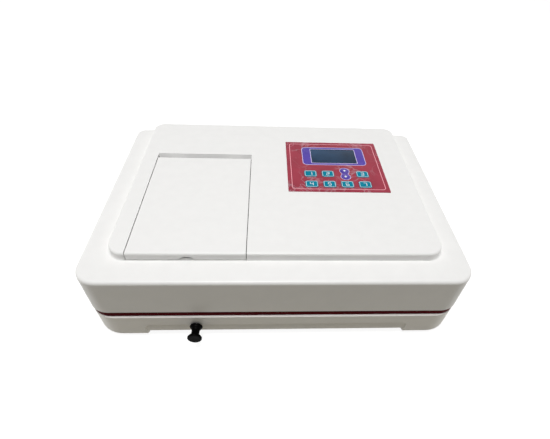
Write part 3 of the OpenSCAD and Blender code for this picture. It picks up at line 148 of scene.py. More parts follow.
def rounded_loop(low: Pair, high: Pair, radii: np.ndarray | tuple, steps: int,
                 sides: tuple[np.ndarray, ...] | None = None) -> np.ndarray:
    """Outline of a rectangle with rounded corners, counter-clockwise from the right end of its rear edge.

    Each corner is an arc about its own centre, and each side holds points spread by the given shares.

    Args:
        low: lower x and y.
        high: upper x and y.
        radii: corner radii in the order rear right, rear left, front left, front right.
        steps: segments per corner.
        sides: shares of the length along the rear, left, front and right sides where extra points lie.

    Returns:
        An array of points in the plane.
    """
    sides = sides or (np.array([]),) * 4
    signs = ((1, 1), (-1, 1), (-1, -1), (1, -1))
    corners = []
    for k, ((sx, sy), r) in enumerate(zip(signs, radii)):
        centre = np.array([high[0] - r if sx > 0 else low[0] + r, high[1] - r if sy > 0 else low[1] + r])
        corners.append(centre + arc(r, 90 * k, 90 * k + 90, steps))
    parts = []
    for k, corner in enumerate(corners):
        share = np.asarray(sides[k], float)[:, None]
        parts.append(corner)
        parts.append((1 - share) * corner[-1] + share * corners[(k + 1) % 4][0])
    return np.concatenate([p for p in parts if len(p)])


def lift(loop: np.ndarray, z: float) -> np.ndarray:
    """Raises a plane outline to a height."""
    return np.column_stack([loop, np.full(len(loop), z)])


def stand(section: np.ndarray, x: float) -> np.ndarray:
    """Stands a section in y and z upright at a place along x."""
    return np.column_stack([np.full(len(section), x), section])


def smooth(mesh: Mesh, angle: float) -> None:
    """Shades a mesh smooth except across edges sharper than an angle in degrees."""
    mesh.shade_smooth()
    mesh.set_sharp_from_angle(angle=math.radians(angle))


def link(name: str, data: bpy.types.ID) -> Object:
    """Makes an object at the origin from a mesh, a light or a camera and links it to the scene."""
    obj = bpy.data.objects.new(name, data)
    bpy.context.scene.collection.objects.link(obj)
    return obj


def mesh_object(name: str, verts: np.ndarray, faces: list, angle: float = SHARP) -> Object:
    """Makes a mesh object at the origin, smooth except across sharp edges.

    Args:
        name: piece name.
        verts: vertex array.
        faces: vertex indices of each face.
        angle: edges sharper than this many degrees stay sharp.

    Returns:
        The new object, linked to the scene.
    """
    mesh = bpy.data.meshes.new(name)
    mesh.from_pydata(np.asarray(verts, float).reshape(-1, 3).tolist(), [], faces)
    mesh.validate()
    mesh.update()
    smooth(mesh, angle)
    return link(name, mesh)


def loft_faces(rows: int, columns: int, ends: Ends) -> list:
    """Faces that join a stack of closed loops, row by row, with a flat cap at each end if asked.

    Args:
        rows: number of loops.
        columns: points in a loop.
        ends: whether the first and last loops are capped.

    Returns:
        The list of faces.
    """
    j, i = np.meshgrid(np.arange(rows - 1), np.arange(columns), indexing="ij")
    k = (i + 1) % columns
    quads = np.stack([j * columns + i, j * columns + k, (j + 1) * columns + k, (j + 1) * columns + i], axis=-1)
    faces = quads.reshape(-1, 4).tolist()
    if ends is Ends.CAPPED:
        faces.append(np.arange(columns)[::-1].tolist())
        faces.append((np.arange(columns) + (rows - 1) * columns).tolist())
    return faces


def loft(name: str, loops: list[np.ndarray], ends: Ends = Ends.CAPPED) -> Object:
    """Surface through a stack of loops that all have the same number of points.

    Args:
        name: piece name.
        loops: outlines from the first end to the last, counter-clockwise seen from the last end.
        ends: whether the two ends are capped.

    Returns:
        The new object.
    """
    grid = np.stack(loops)
    return mesh_object(name, grid, loft_faces(grid.shape[0], grid.shape[1], ends))


def revolve(name: str, profile: np.ndarray, centre: np.ndarray, axis: Axis, sides: int, angle: float = SHARP) -> Object:
    """Turned surface: each profile point, a radius and a length, is carried round the axis.

    A profile that ends where it starts gives a tube. Any other is closed by a fan about a pole at each end.

    Args:
        name: piece name.
        profile: radius and length along the axis, from the first end to the last.
        centre: point on the axis where length is 0.
        axis: the way that length grows.
        sides: points round the circle.
        angle: edges sharper than this stay sharp.

    Returns:
        The new object.
    """
    turn = np.linspace(0, 2 * np.pi, sides, endpoint=False)
    circle = np.stack([np.cos(turn), np.sin(turn)], axis=1)
    tube = np.allclose(profile[0], profile[-1])
    rows = profile[:-1] if tube else profile[profile[:, 0] > 0]
    plane = rows[:, None, :1] * circle[None]
    along = np.broadcast_to(rows[:, None, 1:], plane.shape[:2] + (1,))
    local = np.concatenate([plane, along], axis=2).reshape(-1, 3)
    faces = (np.array(loft_faces(len(rows) + tube, sides, Ends.OPEN)) % len(local)).tolist()
    if not tube:
        rim = np.arange(sides)
        for pole, edge in enumerate((rim[::-1], rim + len(local) - sides), start=len(local)):
            faces += np.column_stack([edge, np.roll(edge, -1), np.full(sides, pole)]).tolist()
        local = np.concatenate([local, [[0, 0, profile[0, 1]], [0, 0, profile[-1, 1]]]])
    return mesh_object(name, local[:, axis.value] + centre, faces, angle)


def slab(name: str, low: np.ndarray, high: np.ndarray, corner: float, edge: float) -> Object:
    """Flat plate with rounded corners in plan and a small round along its upper and lower edges.

    Args:
        name: piece name.
        low: lowest corner.
        high: highest corner.
        corner: plan radius.
        edge: radius of the upper and lower edges.

    Returns:
        The new object.
    """
    lower = [(edge - out, low[2] + edge + up) for out, up in arc(edge, -90, 0, EDGE_STEPS)]
    upper = [(edge - out, high[2] - edge + up) for out, up in arc(edge, 0, 90, EDGE_STEPS)]
    loops = []
    for inset, z in lower + upper:
        radius = max(corner - inset, edge * LEAST_SHARE)
        loops.append(lift(rounded_loop(low[:2] + inset, high[:2] - inset, (radius,) * 4, PLAN_STEPS), z))
    return loft(name, loops)


def hoop(name: str, inner: np.ndarray, outer: np.ndarray, z0: float, z1: float) -> Object:
    """Thin upright frame between two outlines with the same number of points, from one height to another."""
    stack = [lift(inner, z0), lift(outer, z0), lift(outer, z1), lift(inner, z1), lift(inner, z0)]
    return loft(name, stack, Ends.OPEN)


def ring(name: str, low: np.ndarray, high: np.ndarray, corner: float, width: float, z0: float, z1: float) -> Object:
    """Thin frame between an outline with rounded corners and the same outline drawn in by a width.

    Args:
        name: piece name.
        low: lower x and y of the outer outline.
        high: upper x and y of the outer outline.
        corner: plan radius outside.
        width: width of the line.
        z0: underside.
        z1: top.

    Returns:
        The new object.
    """
    outer = rounded_loop(low, high, (corner,) * 4, PLAN_STEPS)
    inner = rounded_loop(low + width, high - width, (max(corner - width, width * LEAST_SHARE),) * 4, PLAN_STEPS)
    return hoop(name, inner, outer, z0, z1)


def block(low: np.ndarray, high: np.ndarray) -> Object:
    """Plain box between two corners, to cut other meshes or to be joined to them."""
    x, y, z = np.meshgrid([0, 1], [0, 1], [0, 1], indexing="ij")
    unit = np.stack([x.ravel(), y.ravel(), z.ravel()], axis=1)
    faces = [[0, 1, 3, 2], [4, 6, 7, 5], [0, 4, 5, 1], [2, 3, 7, 6], [0, 2, 6, 4], [1, 5, 7, 3]]
    return mesh_object("block", np.asarray(low) + unit * (np.asarray(high) - np.asarray(low)), faces)


def prism(name: str, plan: np.ndarray, z0: float, z1: float) -> Object:
    """Upright prism on a plane outline, from one height to another."""
    return loft(name, [lift(plan, z0), lift(plan, z1)])


def drill(radius: float, reach: float, middle: np.ndarray, axis: Axis, sides: int) -> Object:
    """Round bar through a point, used only to cut other meshes.

    Args:
        radius: radius of the hole.
        reach: how far the bar goes to each side of the point.
        middle: the point.
        axis: the way of the hole.
        sides: points round the circle.

    Returns:
        The cutter.
    """
    return revolve("cutter", np.array([[radius, -reach], [radius, reach]]), middle, axis, sides)


def rounded_cutter(low: np.ndarray, high: np.ndarray, corner: float) -> Object:
    """Upright prism with rounded corners, used only to cut other meshes."""
    return prism("cutter", rounded_loop(low[:2], high[:2], (corner,) * 4, PLAN_STEPS), low[2], high[2])


def carve(obj: Object, cutters: list[Object]) -> None:
    """Cuts closed meshes out of an object's mesh and deletes them."""
    for cutter in cutters:
        step = obj.modifiers.new("carve", "BOOLEAN")
        step.operation = "DIFFERENCE"
        step.solver = "EXACT"
        step.object = cutter
    settle(obj)
    smooth(obj.data, SHARP)
    for cutter in cutters:
        bpy.data.objects.remove(cutter)


def settle(obj: Object) -> None:
    """Applies an object's modifiers to its mesh."""
    bpy.context.view_layer.update()
    graph = bpy.context.evaluated_depsgraph_get()
    mesh = bpy.data.meshes.new_from_object(obj.evaluated_get(graph))
    mesh.name = obj.name
    obj.modifiers.clear()
    obj.data = mesh


def soften(obj: Object, width: float, segments: int, limit: float, sharp: float) -> None:
    """Rounds an object's sharp edges a little and evens its normals over flat faces.

    Args:
        obj: object to finish.
        width: width of the rounding.
        segments: segments across the rounding.
        limit: edges sharper than this many degrees are rounded.
        sharp: edges sharper than this many degrees stay sharp in the shading.
    """
    bevel = obj.modifiers.new("edge_round", "BEVEL")
    bevel.width = width
    bevel.segments = segments
    bevel.limit_method = "ANGLE"
    bevel.angle_limit = math.radians(limit)
    settle(obj)
    smooth(obj.data, sharp)
    even_normals(obj)


def even_normals(obj: Object) -> None:
    """Weights vertex normals by face area, so that flat faces stay flat beside rounded edges."""
    weight = obj.modifiers.new("even_normals", "WEIGHTED_NORMAL")
    weight.mode = "FACE_AREA"
    weight.keep_sharp = True


def vertices_of(mesh: Mesh) -> np.ndarray:
    """Gives a mesh's vertices as an array with one row each."""
    points = np.empty(len(mesh.vertices) * 3)
    mesh.vertices.foreach_get("co", points)
    return points.reshape(-1, 3)


def unite(name: str, parts: list[Object]) -> Object:
    """Joins meshes into one object.

    Args:
        name: name of the joined piece.
        parts: meshes at the origin; they are deleted.

    Returns:
        The joined piece.
    """
    verts, faces, start = [], [], 0
    for part in parts:
        verts.append(vertices_of(part.data))
        faces += [[start + i for i in face.vertices] for face in part.data.polygons]
        start += len(verts[-1])
        bpy.data.objects.remove(part)
    return mesh_object(name, np.concatenate(verts), faces)


def linear(red: int, green: int, blue: int) -> Triple:
    """Turns a screen colour of 0 to 255 into linear light by the sRGB curve."""
    share = np.array([red, green, blue]) / 255
    light = np.where(share <= 0.04045, share / 12.92, ((share + 0.055) / 1.055) ** 2.4)
    return tuple(float(c) for c in light)


class Graph:
    """Nodes of a material or world, each added with its values and links in one call."""

    def __init__(self, owner: Material | bpy.types.World) -> None:
        """Turns on the owner's nodes and keeps hold of their tree."""
        owner.use_nodes = True
        self.tree = owner.node_tree

    def add(self, kind: str, inputs: dict[str | int, object], **settings: object) -> Node:
        """Adds a shader node.

        Args:
            kind: node type without its common first word.
            inputs: for each input its constant value, or the socket that it is linked to.
            settings: attributes of the node, set before its inputs.

        Returns:
            The node.
        """
        node = self.tree.nodes.new("ShaderNode" + kind)
        for name, value in settings.items():
            setattr(node, name, value)
        return self.feed(node, inputs)

    def feed(self, node: Node, inputs: dict[str | int, object]) -> Node:
        """Links or sets the inputs of a node that is there already, and gives the node back."""
        for name, value in inputs.items():
            if isinstance(value, NodeSocket):
                self.tree.links.new(value, node.inputs[name])
            else:
                node.inputs[name].default_value = value
        return node

    def maths(self, operation: str, *values: float | NodeSocket) -> NodeSocket:
        """One step of arithmetic on numbers or sockets."""
        return self.add("Math", dict(enumerate(values)), operation=operation).outputs["Value"]

    def noise(self, place: NodeSocket, scale: float, detail: float, distortion: float = 0.0) -> NodeSocket:
        """Fractal noise from 0 to 1.

        Args:
            place: coordinates.
            scale: cells per metre.
            detail: octaves.
            distortion: how far the coordinates are pushed about.

        Returns:
            The noise socket.
        """
        inputs = {"Vector": place, "Scale": scale, "Detail": detail, "Distortion": distortion}
        return self.add("TexNoise", inputs).outputs["Fac"]


@dataclass(frozen=True)
class Finish:
    """Surface finish whose colour and roughness drift a little and whose relief is fine noise.

    The noise is read in the object's own coordinates, stretched per axis, so a brushed or moulded grain keeps its
    size on every piece.
    """

    name: str
    colour: Triple
    roughness: float = 0.45
    drift: float = 0.04
    grain: float = 900.0
    relief: float = 0.03
    metal: float = 0.0
    coat: float = 0.0
    gloss: float = 0.5
    stretch: Triple = (1.0, 1.0, 1.0)
    wear: float = 0.12
    coat_roughness: float = 0.08
    broad_share: float = 40.0
    shade_stops: Pair = (0.3, 0.7)

    def material(self) -> Material:
        """Makes the finish, or gives the one that was made before.

        Returns:
            The material.
        """
        made = bpy.data.materials.get(self.name)
        if made:
            return made
        made = bpy.data.materials.new(self.name)
        graph = Graph(made)
        shader = made.node_tree.nodes["Principled BSDF"]
        coord = graph.add("TexCoord", {}).outputs["Object"]
        place = graph.add("Mapping", {"Vector": coord, "Scale": self.stretch}).outputs["Vector"]
        broad = graph.noise(place, self.grain / self.broad_share, detail=3.0)
        fine = graph.noise(place, self.grain, detail=2.0)
        rough = graph.add("MapRange", {"Value": fine, "To Min": self.roughness * (1 - self.wear),
                                       "To Max": min(self.roughness * (1 + self.wear), 1.0)})
        bump = graph.add("Bump", {"Height": fine, "Strength": self.relief, "Distance": 1 * MM})
        graph.feed(shader, {
            "Base Color": self.tint(graph, broad, place), "Roughness": rough.outputs["Result"],
            "Normal": bump.outputs["Normal"], "Metallic": self.metal, "Specular IOR Level": self.gloss,
            "Coat Weight": self.coat, "Coat Roughness": self.coat_roughness, **self.extra()})
        return made

    def tint(self, graph: Graph, broad: NodeSocket, place: NodeSocket) -> NodeSocket:
        """Colour that drifts with the broad noise between a darker and a lighter shade.

        Args:
            graph: nodes of the material.
            broad: broad noise.
            place: coordinates.

        Returns:
            The colour socket.
        """
        ramp = graph.add("ValToRGB", {"Fac": broad})
        shade = np.array(self.colour)
        for stop, at, factor in zip(ramp.color_ramp.elements, self.shade_stops, (1 - self.drift, 1 + self.drift)):
            stop.position = at
            stop.color = (*np.clip(shade * factor, 0, 1), 1)
        return ramp.outputs["Color"]

    def extra(self) -> dict[str, float]:
        """Shader values that only some finishes have; none here."""
        return {}

    def on(self, obj: Object) -> None:
        """Gives the finish to an object, in place of what it had."""
        obj.data.materials.clear()
        obj.data.materials.append(self.material())


@dataclass(frozen=True)
class FilmFinish(Finish):
    """Printed film under a protective sheet: along creases of the sheet, painted pale reflections and painted dark fold
    shade lie over the print in patches.
    """

    # Strength, colour and scale of the painted reflections and painted fold shade along the sheet's creases
    painted_crease_strength: float = 0.25
    painted_reflection_colour: Triple = (0.6, 0.5, 0.55)
    painted_fold_shade_weight: float = 1.2
    painted_fold_shade_factor: float = 0.45
    painted_fold_shade_scale: float = 17.0
    painted_reflection_scale: float = 26.0
    crease_width: float = 0.035
    crease_bend: float = 2.2
    patch_scale: float = 0.7
    patch_range: Pair = (0.42, 0.6)

    def tint(self, graph: Graph, broad: NodeSocket, place: NodeSocket) -> NodeSocket:
        """Mixes the print with painted shade along the sheet's folds, then with a painted pale reflection, each along
        its own creases.

        Args:
            graph: nodes of the material.
            broad: broad noise.
            place: coordinates.

        Returns:
            The colour socket.
        """
        colour = super().tint(graph, broad, place)
        # Painted shade: a darker copy of the print along the sheet's folds; then a painted pale reflection along other
        # creases
        shade = tuple(self.painted_fold_shade_factor * c for c in self.colour)
        for over, strength, scale in ((shade, self.painted_fold_shade_weight * self.painted_crease_strength, self.painted_fold_shade_scale),
                                      (self.painted_reflection_colour, self.painted_crease_strength, self.painted_reflection_scale)):
            share = self.creases(graph, place, scale, strength)
            mix = graph.add("Mix", {"Factor": share, "A": colour, "B": (*over, 1)}, data_type="RGBA")
            colour = mix.outputs["Result"]
        return colour

    def creases(self, graph: Graph, place: NodeSocket, scale: float, strength: float) -> NodeSocket:
        """Lines along the middle contour of a distorted noise, kept only where a broader noise is high.

        Args:
            graph: nodes of the material.
            place: coordinates.
            scale: cells per metre.
            strength: share of the painted colour at the crease's middle.

        Returns:
            The share socket.
        """
        wave = graph.noise(place, scale, detail=3.0, distortion=self.crease_bend)
        ridge = graph.maths("ABSOLUTE", graph.maths("SUBTRACT", wave, 0.5))
        line = graph.add("MapRange", {"Value": ridge, "From Max": self.crease_width, "To Min": strength, "To Max": 0.0})
        start, full = self.patch_range
        cloud = graph.noise(place, scale * self.patch_scale, detail=0.0)
        patch = graph.add("MapRange", {"Value": cloud, "From Min": start, "From Max": full})
        return graph.maths("MULTIPLY", line.outputs["Result"], patch.outputs["Result"])


@dataclass(frozen=True)
class ClearFinish(Finish):
    """Clear glass or quartz that light passes through."""

    index: float = 1.46
    passing: float = 0.95

    def extra(self) -> dict[str, float]:
        """Lets light through and sets how far it bends."""
        return {"Transmission Weight": self.passing, "IOR": self.index}


@dataclass(frozen=True)
class BoardFinish(Finish):
    """Circuit board: a grid of lighter tracks, drawn by a brick pattern, over the solder mask."""

    tracks: Triple = (0.05, 0.2, 0.08)
    track_scale: float = 60.0
    track_width: float = 0.012

    def tint(self, graph: Graph, broad: NodeSocket, place: NodeSocket) -> NodeSocket:
        """Draws the tracks as the joints of a brick pattern over the drifting mask colour.

        Args:
            graph: nodes of the material.
            broad: broad noise.
            place: coordinates.

        Returns:
            The colour socket.
        """
        mask = super().tint(graph, broad, place)
        brick = graph.add("TexBrick", {"Vector": place, "Color1": mask, "Color2": mask, "Mortar": (*self.tracks, 1),
                                       "Scale": self.track_scale, "Mortar Size": self.track_width})
        return brick.outputs["Color"]


# Each finish starts with its name, colour, roughness, drift, grains per metre and relief
WHITE = Finish("satin_white_plastic", (0.845, 0.84, 0.826), 0.42, 0.012, 2600.0, 0.02)
IVORY = Finish("warm_white_plastic", (0.9, 0.885, 0.855), 0.42, 0.012, 2600.0, 0.02)
MAROON = Finish("maroon_trim", linear(88, 0, 8), 0.4, 0.06, 1500.0, 0.02, gloss=0.02)
# The films' crease strength paints pale reflections and dark fold shade into their colour
CRIMSON = FilmFinish("crimson_film", linear(153, 52, 69), 0.34, 0.12, 1500.0, 0.02, gloss=0.15, painted_crease_strength=0.36)
PINK = Finish("pink_ink", linear(246, 168, 180), 0.4, 0.05, 1200.0, 0.02)
PURPLE = FilmFinish("purple_film", linear(85, 67, 163), 0.34, 0.05, 1500.0, 0.02, gloss=0.15, painted_crease_strength=0.15)
LAVENDER = Finish("lavender_ink", linear(205, 195, 235), 0.4, 0.04, 1200.0, 0.02)
TEAL = FilmFinish("teal_film", linear(0, 127, 152), 0.4, 0.06, 1500.0, 0.03, gloss=0.05, painted_crease_strength=0.04,
                  painted_reflection_colour=(0.45, 0.7, 0.72))
PALE_TEAL = Finish("pale_teal_ink", linear(200, 224, 230), 0.4, 0.05, 1200.0, 0.02)
INK = Finish("white_ink", linear(236, 240, 242), 0.4, 0.04, 1200.0, 0.02)
# The display pane's large colour drift paints mottled reflections into its colour
SCREEN = Finish("dark_display_pane", linear(26, 54, 82), 0.25, 0.5, 900.0, 0.0, gloss=0.15)
BLACK = Finish("gloss_black_plastic", linear(4, 4, 4), 0.3, 0.15, 1800.0, 0.03, gloss=0.02)
RED_ROCKER = Finish("gloss_red_rocker", linear(170, 24, 26), 0.3, 0.06, 1600.0, 0.03, coat=0.2)
RUBBER = Finish("matt_rubber", linear(34, 34, 35), 0.75, 0.18, 2400.0, 0.12)
STEEL = Finish("brushed_steel", (0.56, 0.56, 0.57), 0.3, 0.08, 2200.0, 0.04, metal=1.0, stretch=(0.08, 1.0, 1.0))
DARK_METAL = Finish("blackened_metal", linear(38, 38, 40), 0.5, 0.14, 1800.0, 0.05, metal=0.4)
ALLOY = Finish("sand_cast_alloy", (0.5, 0.51, 0.52), 0.48, 0.1, 900.0, 0.12, metal=0.9)
BRASS = Finish("turned_brass", (0.72, 0.5, 0.2), 0.28, 0.08, 2200.0, 0.04, metal=1.0, stretch=(1.0, 0.1, 1.0))
BOARD = BoardFinish("green_solder_mask", linear(22, 84, 50), 0.4, 0.12, 1500.0, 0.05, coat=0.2)
QUARTZ = ClearFinish("fused_quartz", (0.95, 0.97, 0.98), 0.04, 0.02, 600.0, 0.0)
MIRROR = Finish("silvered_mirror", (0.88, 0.9, 0.92), 0.04, 0.02, 600.0, 0.0, metal=1.0)
CERAMIC = Finish("glazed_ceramic", linear(226, 218, 200), 0.55, 0.05, 1600.0, 0.06)

SLOT_FINISH = {
    "white_casing": WHITE, "accent_red": MAROON, "overlay_red": CRIMSON, "display_glass": SCREEN, "key_teal": TEAL,
    "key_purple": PURPLE, "black_plastic": BLACK, "switch_red": RED_ROCKER, "foot_rubber": RUBBER,
    "plain_steel": STEEL, "black_metal": DARK_METAL, "cast_alloy": ALLOY, "drive_brass": BRASS,
    "circuit_board": BOARD, "clear_quartz": QUARTZ, "mirror_coat": MIRROR, "lamp_ceramic": CERAMIC,
}

NODE_SLOT = {
    "white_casing": ("top_cover", "base_tub", "sample_lid", "hinge_brackets"),
    "accent_red": ("accent_band",),
    "overlay_red": ("keypad_overlay",),
    "display_glass": ("display_window",),
    "key_teal": ("key_rear_1", "key_rear_2", "key_rear_4", "key_front_1", "key_front_2", "key_front_3", "key_front_4"),
    "key_purple": ("key_up", "key_down"),
    "black_plastic": ("rod_knob", "mains_inlet", "switch_bezel", "fuse_carrier", "data_port", "fan_frame", "fan_rotor",
                      "display_module"),
    "switch_red": ("rocker_switch",),
    "foot_rubber": ("rubber_feet", "lid_seal"),
    "plain_steel": ("cover_screws", "hinge_pins", "carriage_rails", "pull_rod", "lead_screw", "power_supply",
                    "lamp_housing"),
    "black_metal": ("sample_chamber", "cell_carriage", "detector_housing", "exit_slit", "entrance_slit",
                    "filter_wheel", "wavelength_motor", "filter_motor", "mirror_motor", "detector"),
    "cast_alloy": ("optical_bed", "mirror_mount", "grating_table", "sine_arm", "screw_bearings"),
    "drive_brass": ("drive_nut", "rod_bush"),
    "circuit_board": ("main_board", "keypad_board"),
    "clear_quartz": ("chamber_windows", "deuterium_lamp", "tungsten_lamp"),
    "mirror_coat": ("collimating_mirror", "grating", "turning_mirror"),
    "lamp_ceramic": ("lamp_holders",),
}


def place_piece(obj: Object, body: str, finish: Finish, slot: str, *nodes: str) -> Object:
    """Hangs a piece on its body, finishes it and hides the CAD nodes it stands for.

    Args:
        obj: piece at the origin.
        body: body it moves with.
        finish: finish it gets.
        slot: not used.
        nodes: CAD nodes it replaces.

    Returns:
        The same object.
    """
    finish.on(obj)
    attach(obj, body)
    if nodes:
        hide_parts(*nodes)
    LOG.info("%s rides %s", obj.name, body)
    return obj


@dataclass
class Boxed:
    """Sub-assembly that takes its place from the box of one CAD node."""

    node: str

    def __post_init__(self) -> None:
        """Reads the node's lowest and highest corners at rest."""
        self.low, self.high = span(self.node)

    def loop(self, inset: Triple, radii: np.ndarray, z: float,
             sides: tuple[np.ndarray, ...] = (SIDE_SHARES,) * 4, steps: int = CORNER_STEPS) -> np.ndarray:
        """One level loop round the box, drawn in by its own amount at the sides, the front and the rear.

        Args:
            inset: how far the sides, the front and the rear are drawn in.
            radii: corner radii at the rear and at the front.
            z: height.
            sides: shares along the rear, left, front and right sides where extra points lie.
            steps: segments per corner.

        Returns:
            The loop.
        """
        side, front, rear = inset
        low, high = self.low[:2] + [side, front], self.high[:2] - [side, rear]
        return lift(rounded_loop(low, high, np.repeat(radii, 2), steps, sides), z)


@dataclass
class Cover(Boxed):
    """Moulded cover: a stepped hollow shell whose plateau runs flush into the rear face."""

    node: str = "top_cover"
    wall: float = 3.0 * MM
    corner: float = 28.0 * MM
    corner_rear: float = 12.0 * MM
    edge: float = 4.5 * MM
    edge_steps: int = 8
    lip: float = 0.5 * MM
    plateau_corner: float = 22.0 * MM
    plateau_rear: float = 15.0 * MM
    plateau_edge: float = 3.0 * MM
    plateau_side: float = 31.7 * MM
    plateau_setback: float = 35.0 * MM
    shoulder_drop: float = 11.0 * MM
    shoulder_rows: int = 5
    foot_fillet: float = 4.0 * MM
    front_fillet: float = 0.8 * MM
    fillet_steps: int = 6
    creep: float = 0.05 * MM
    creep_rows: int = 20
    lid_gap: float = 0.8 * MM
    lid_front: float = 3.0 * MM
    lid_corner: float = 0.6 * MM
    well_lean: float = 3.0 * MM
    well_wall: float = 2.0 * MM
    well_depth: float = 6.4 * MM
    well_drop: float = 0.02 * MM
    hinge_room: float = 5.0 * MM
    far: float = 12.0 * MM
    above_floor: float = 0.01 * MM
    window_corner: float = 1.0 * MM
    key_trim: float = 0.5 * MM
    key_corner: float = 3.0 * MM
    fuse_hole: float = 6.5 * MM
    fuse_sides: int = 40
    rear_rims: tuple = (("mains_inlet", 3.5 * MM, 3.5 * MM), ("switch_bezel", 2.0 * MM, 2.0 * MM),
                        ("data_port", 6.0 * MM, 1.0 * MM))
    grille_size: Triple = (40.0 * MM, 16.0 * MM, 3.0 * MM)
    grille_pitch: float = 50.0 / 7 * MM
    grille_rows: int = 6

    def __post_init__(self) -> None:
        """Works out the heights, radii and places that several methods share."""
        super().__post_init__()
        self.top = self.high[2]
        self.shoulder = self.top - self.shoulder_drop
        self.plain = np.array([self.corner_rear, self.corner])
        self.plateau = np.array([self.plateau_rear, self.plateau_corner])
        self.well_front = middle_of("hinge_pins")[1] + self.hinge_room

    def inner_rows(self) -> list[tuple]:
        """Insets, radii and heights of the inside's rows, from the ceiling down to the rim and round its lip."""
        w, lip, rim = self.wall, self.lip, span("accent_band")[1][2]
        hollow = (self.plateau_side + w, self.plateau_setback + w, w)
        return [(hollow, self.plateau - w, self.top - w), (hollow, self.plateau - w, self.shoulder - w),
                ((w,) * 3, self.plain - w, self.shoulder - w - self.creep), ((w,) * 3, self.plain - w, rim),
                ((lip,) * 3, self.plain - lip, rim), ((0.0,) * 3, self.plain, rim + lip)]

    def outer_rows(self) -> list[tuple]:
        """Rows of the cover's outside, from under the shoulder's edge to the plateau's top edge.

        The two edges are quarter circles and the plateau's foot is a concave quarter ellipse.

        Returns:
            For each row its insets, its corner radii, its height, and whether the whole rear edge is rounded.
        """
        side, front, edge = self.plateau_side, self.plateau_setback, self.edge
        foot, foot_front = self.foot_fillet, self.front_fillet
        rows = []
        for out, up in arc(edge, 0, 90, self.edge_steps):
            rows.append(((edge - out,) * 3, self.plain - edge + out, self.shoulder - edge + up, False))
        first = np.array([edge, edge, edge, *(self.plain - edge)])
        last = np.array([side - foot, front - foot_front, 0.0, self.plateau_rear, self.plateau_corner + foot_front])
        for share in np.linspace(0, 1, self.shoulder_rows + 1)[1:]:
            row = first + share * (last - first)
            rows.append((row[:3], row[3:], self.shoulder, False))
        for out, up in arc(1.0, -90, 0, self.fillet_steps)[1:]:
            inset = (side - foot + foot * out, front - foot_front + foot_front * out, 0.0)
            radii = (self.plateau_rear, self.plateau_corner + foot_front * (1 - out))
            rows.append((inset, radii, self.shoulder + foot * (1 + up), False))
        for out, up in arc(self.plateau_edge, 0, 90, self.fillet_steps):
            t = self.plateau_edge - out
            rows.append(((side + t, front + t, t), self.plateau - t, self.top - self.plateau_edge + up, t > 0))
        return rows

    def shell(self) -> Object:
        """Lofts the shell from its ceiling down inside, round the rim and up to the plateau's top edge.

        Along the rear the outer loops stay in one upright plane and creep upwards so that no two of them coincide.

        Returns:
            The shell, still without its openings.
        """
        loops = [self.loop(*row) for row in self.inner_rows()]
        first, steps = CORNER_STEPS + 1, len(SIDE_SHARES)
        rear_share = np.concatenate([np.linspace(0, 1, first), np.ones(steps), np.linspace(1, 0, first)])
        for k, (inset, radii, z, rounded) in enumerate(self.outer_rows()):
            loop = self.loop(inset, radii, z)
            if not rounded:
                loop[first:first + steps, 1] = self.high[1]
            loop[:len(rear_share), 2] += self.creep * min(k, self.creep_rows) * rear_share
            loops.append(loop)
        return loft("cover_shell", loops)

    def openings(self) -> list[Object]:
        """Cutters for the lid, the display, the keys, the rear fittings and the slots behind the fan."""
        deep, through = np.array([0, 0, self.far]), np.array([0, self.far, 0])
        low, high = span("sample_lid")
        room_low = (low[0] - self.lid_gap, low[1] - self.lid_front, self.shoulder + self.above_floor)
        room_high = (high[0] + self.lid_gap, self.well_front + self.well_lean, self.top + self.far)
        cutters = [rounded_cutter(np.array(room_low), np.array(room_high), self.lid_corner)]
        low, high = span("display_window")
        cutters.append(rounded_cutter(low - deep, high + deep, self.window_corner))
        trim = np.array([self.key_trim, self.key_trim, 0])
        for node in NODE_SLOT["key_teal"] + NODE_SLOT["key_purple"]:
            low, high = span(node)
            cutters.append(rounded_cutter(low + trim - deep, high - trim + deep, self.key_corner))
        for node, across, up in self.rear_rims:
            low, high = span(node)
            rim = np.array([across, 0, up])
            cutters.append(block(low + rim - through, high - rim + through))
        fuse, fan, half = middle_of("fuse_carrier"), middle_of("fan_rotor"), np.array(self.grille_size) / 2
        fuse[1] = fan[1] = self.high[1]
        cutters.append(drill(self.fuse_hole, self.far, fuse, Axis.Y, self.fuse_sides))
        for rise in (np.arange(self.grille_rows) - (self.grille_rows - 1) / 2) * self.grille_pitch:
            cutters.append(block(fan + [0, 0, rise] - half, fan + [0, 0, rise] + half))
        return cutters

    def well(self) -> None:
        """Builds the wall behind the lid, which leans back up to the plateau's top."""
        low, high = span("sample_lid")
        side = self.lid_gap + self.well_wall
        foot, top = self.top - self.well_depth, self.top - self.well_drop
        front, back, lean = self.well_front, self.well_front + self.well_wall, self.well_lean
        section = np.array([[front, foot], [back, foot], [back + lean, top], [front + lean, top]])
        ends = [stand(section, x) for x in (low[0] - side, high[0] + side)]
        place_piece(loft("lid_well", ends), "casing", WHITE, "white_casing")

    def build(self) -> None:
        """Builds the shell with openings where the CAD pieces pass through it, and the wall behind the lid."""
        obj = self.shell()
        carve(obj, self.openings())
        even_normals(obj)
        self.well()
        place_piece(obj, "casing", WHITE, "white_casing", "top_cover")


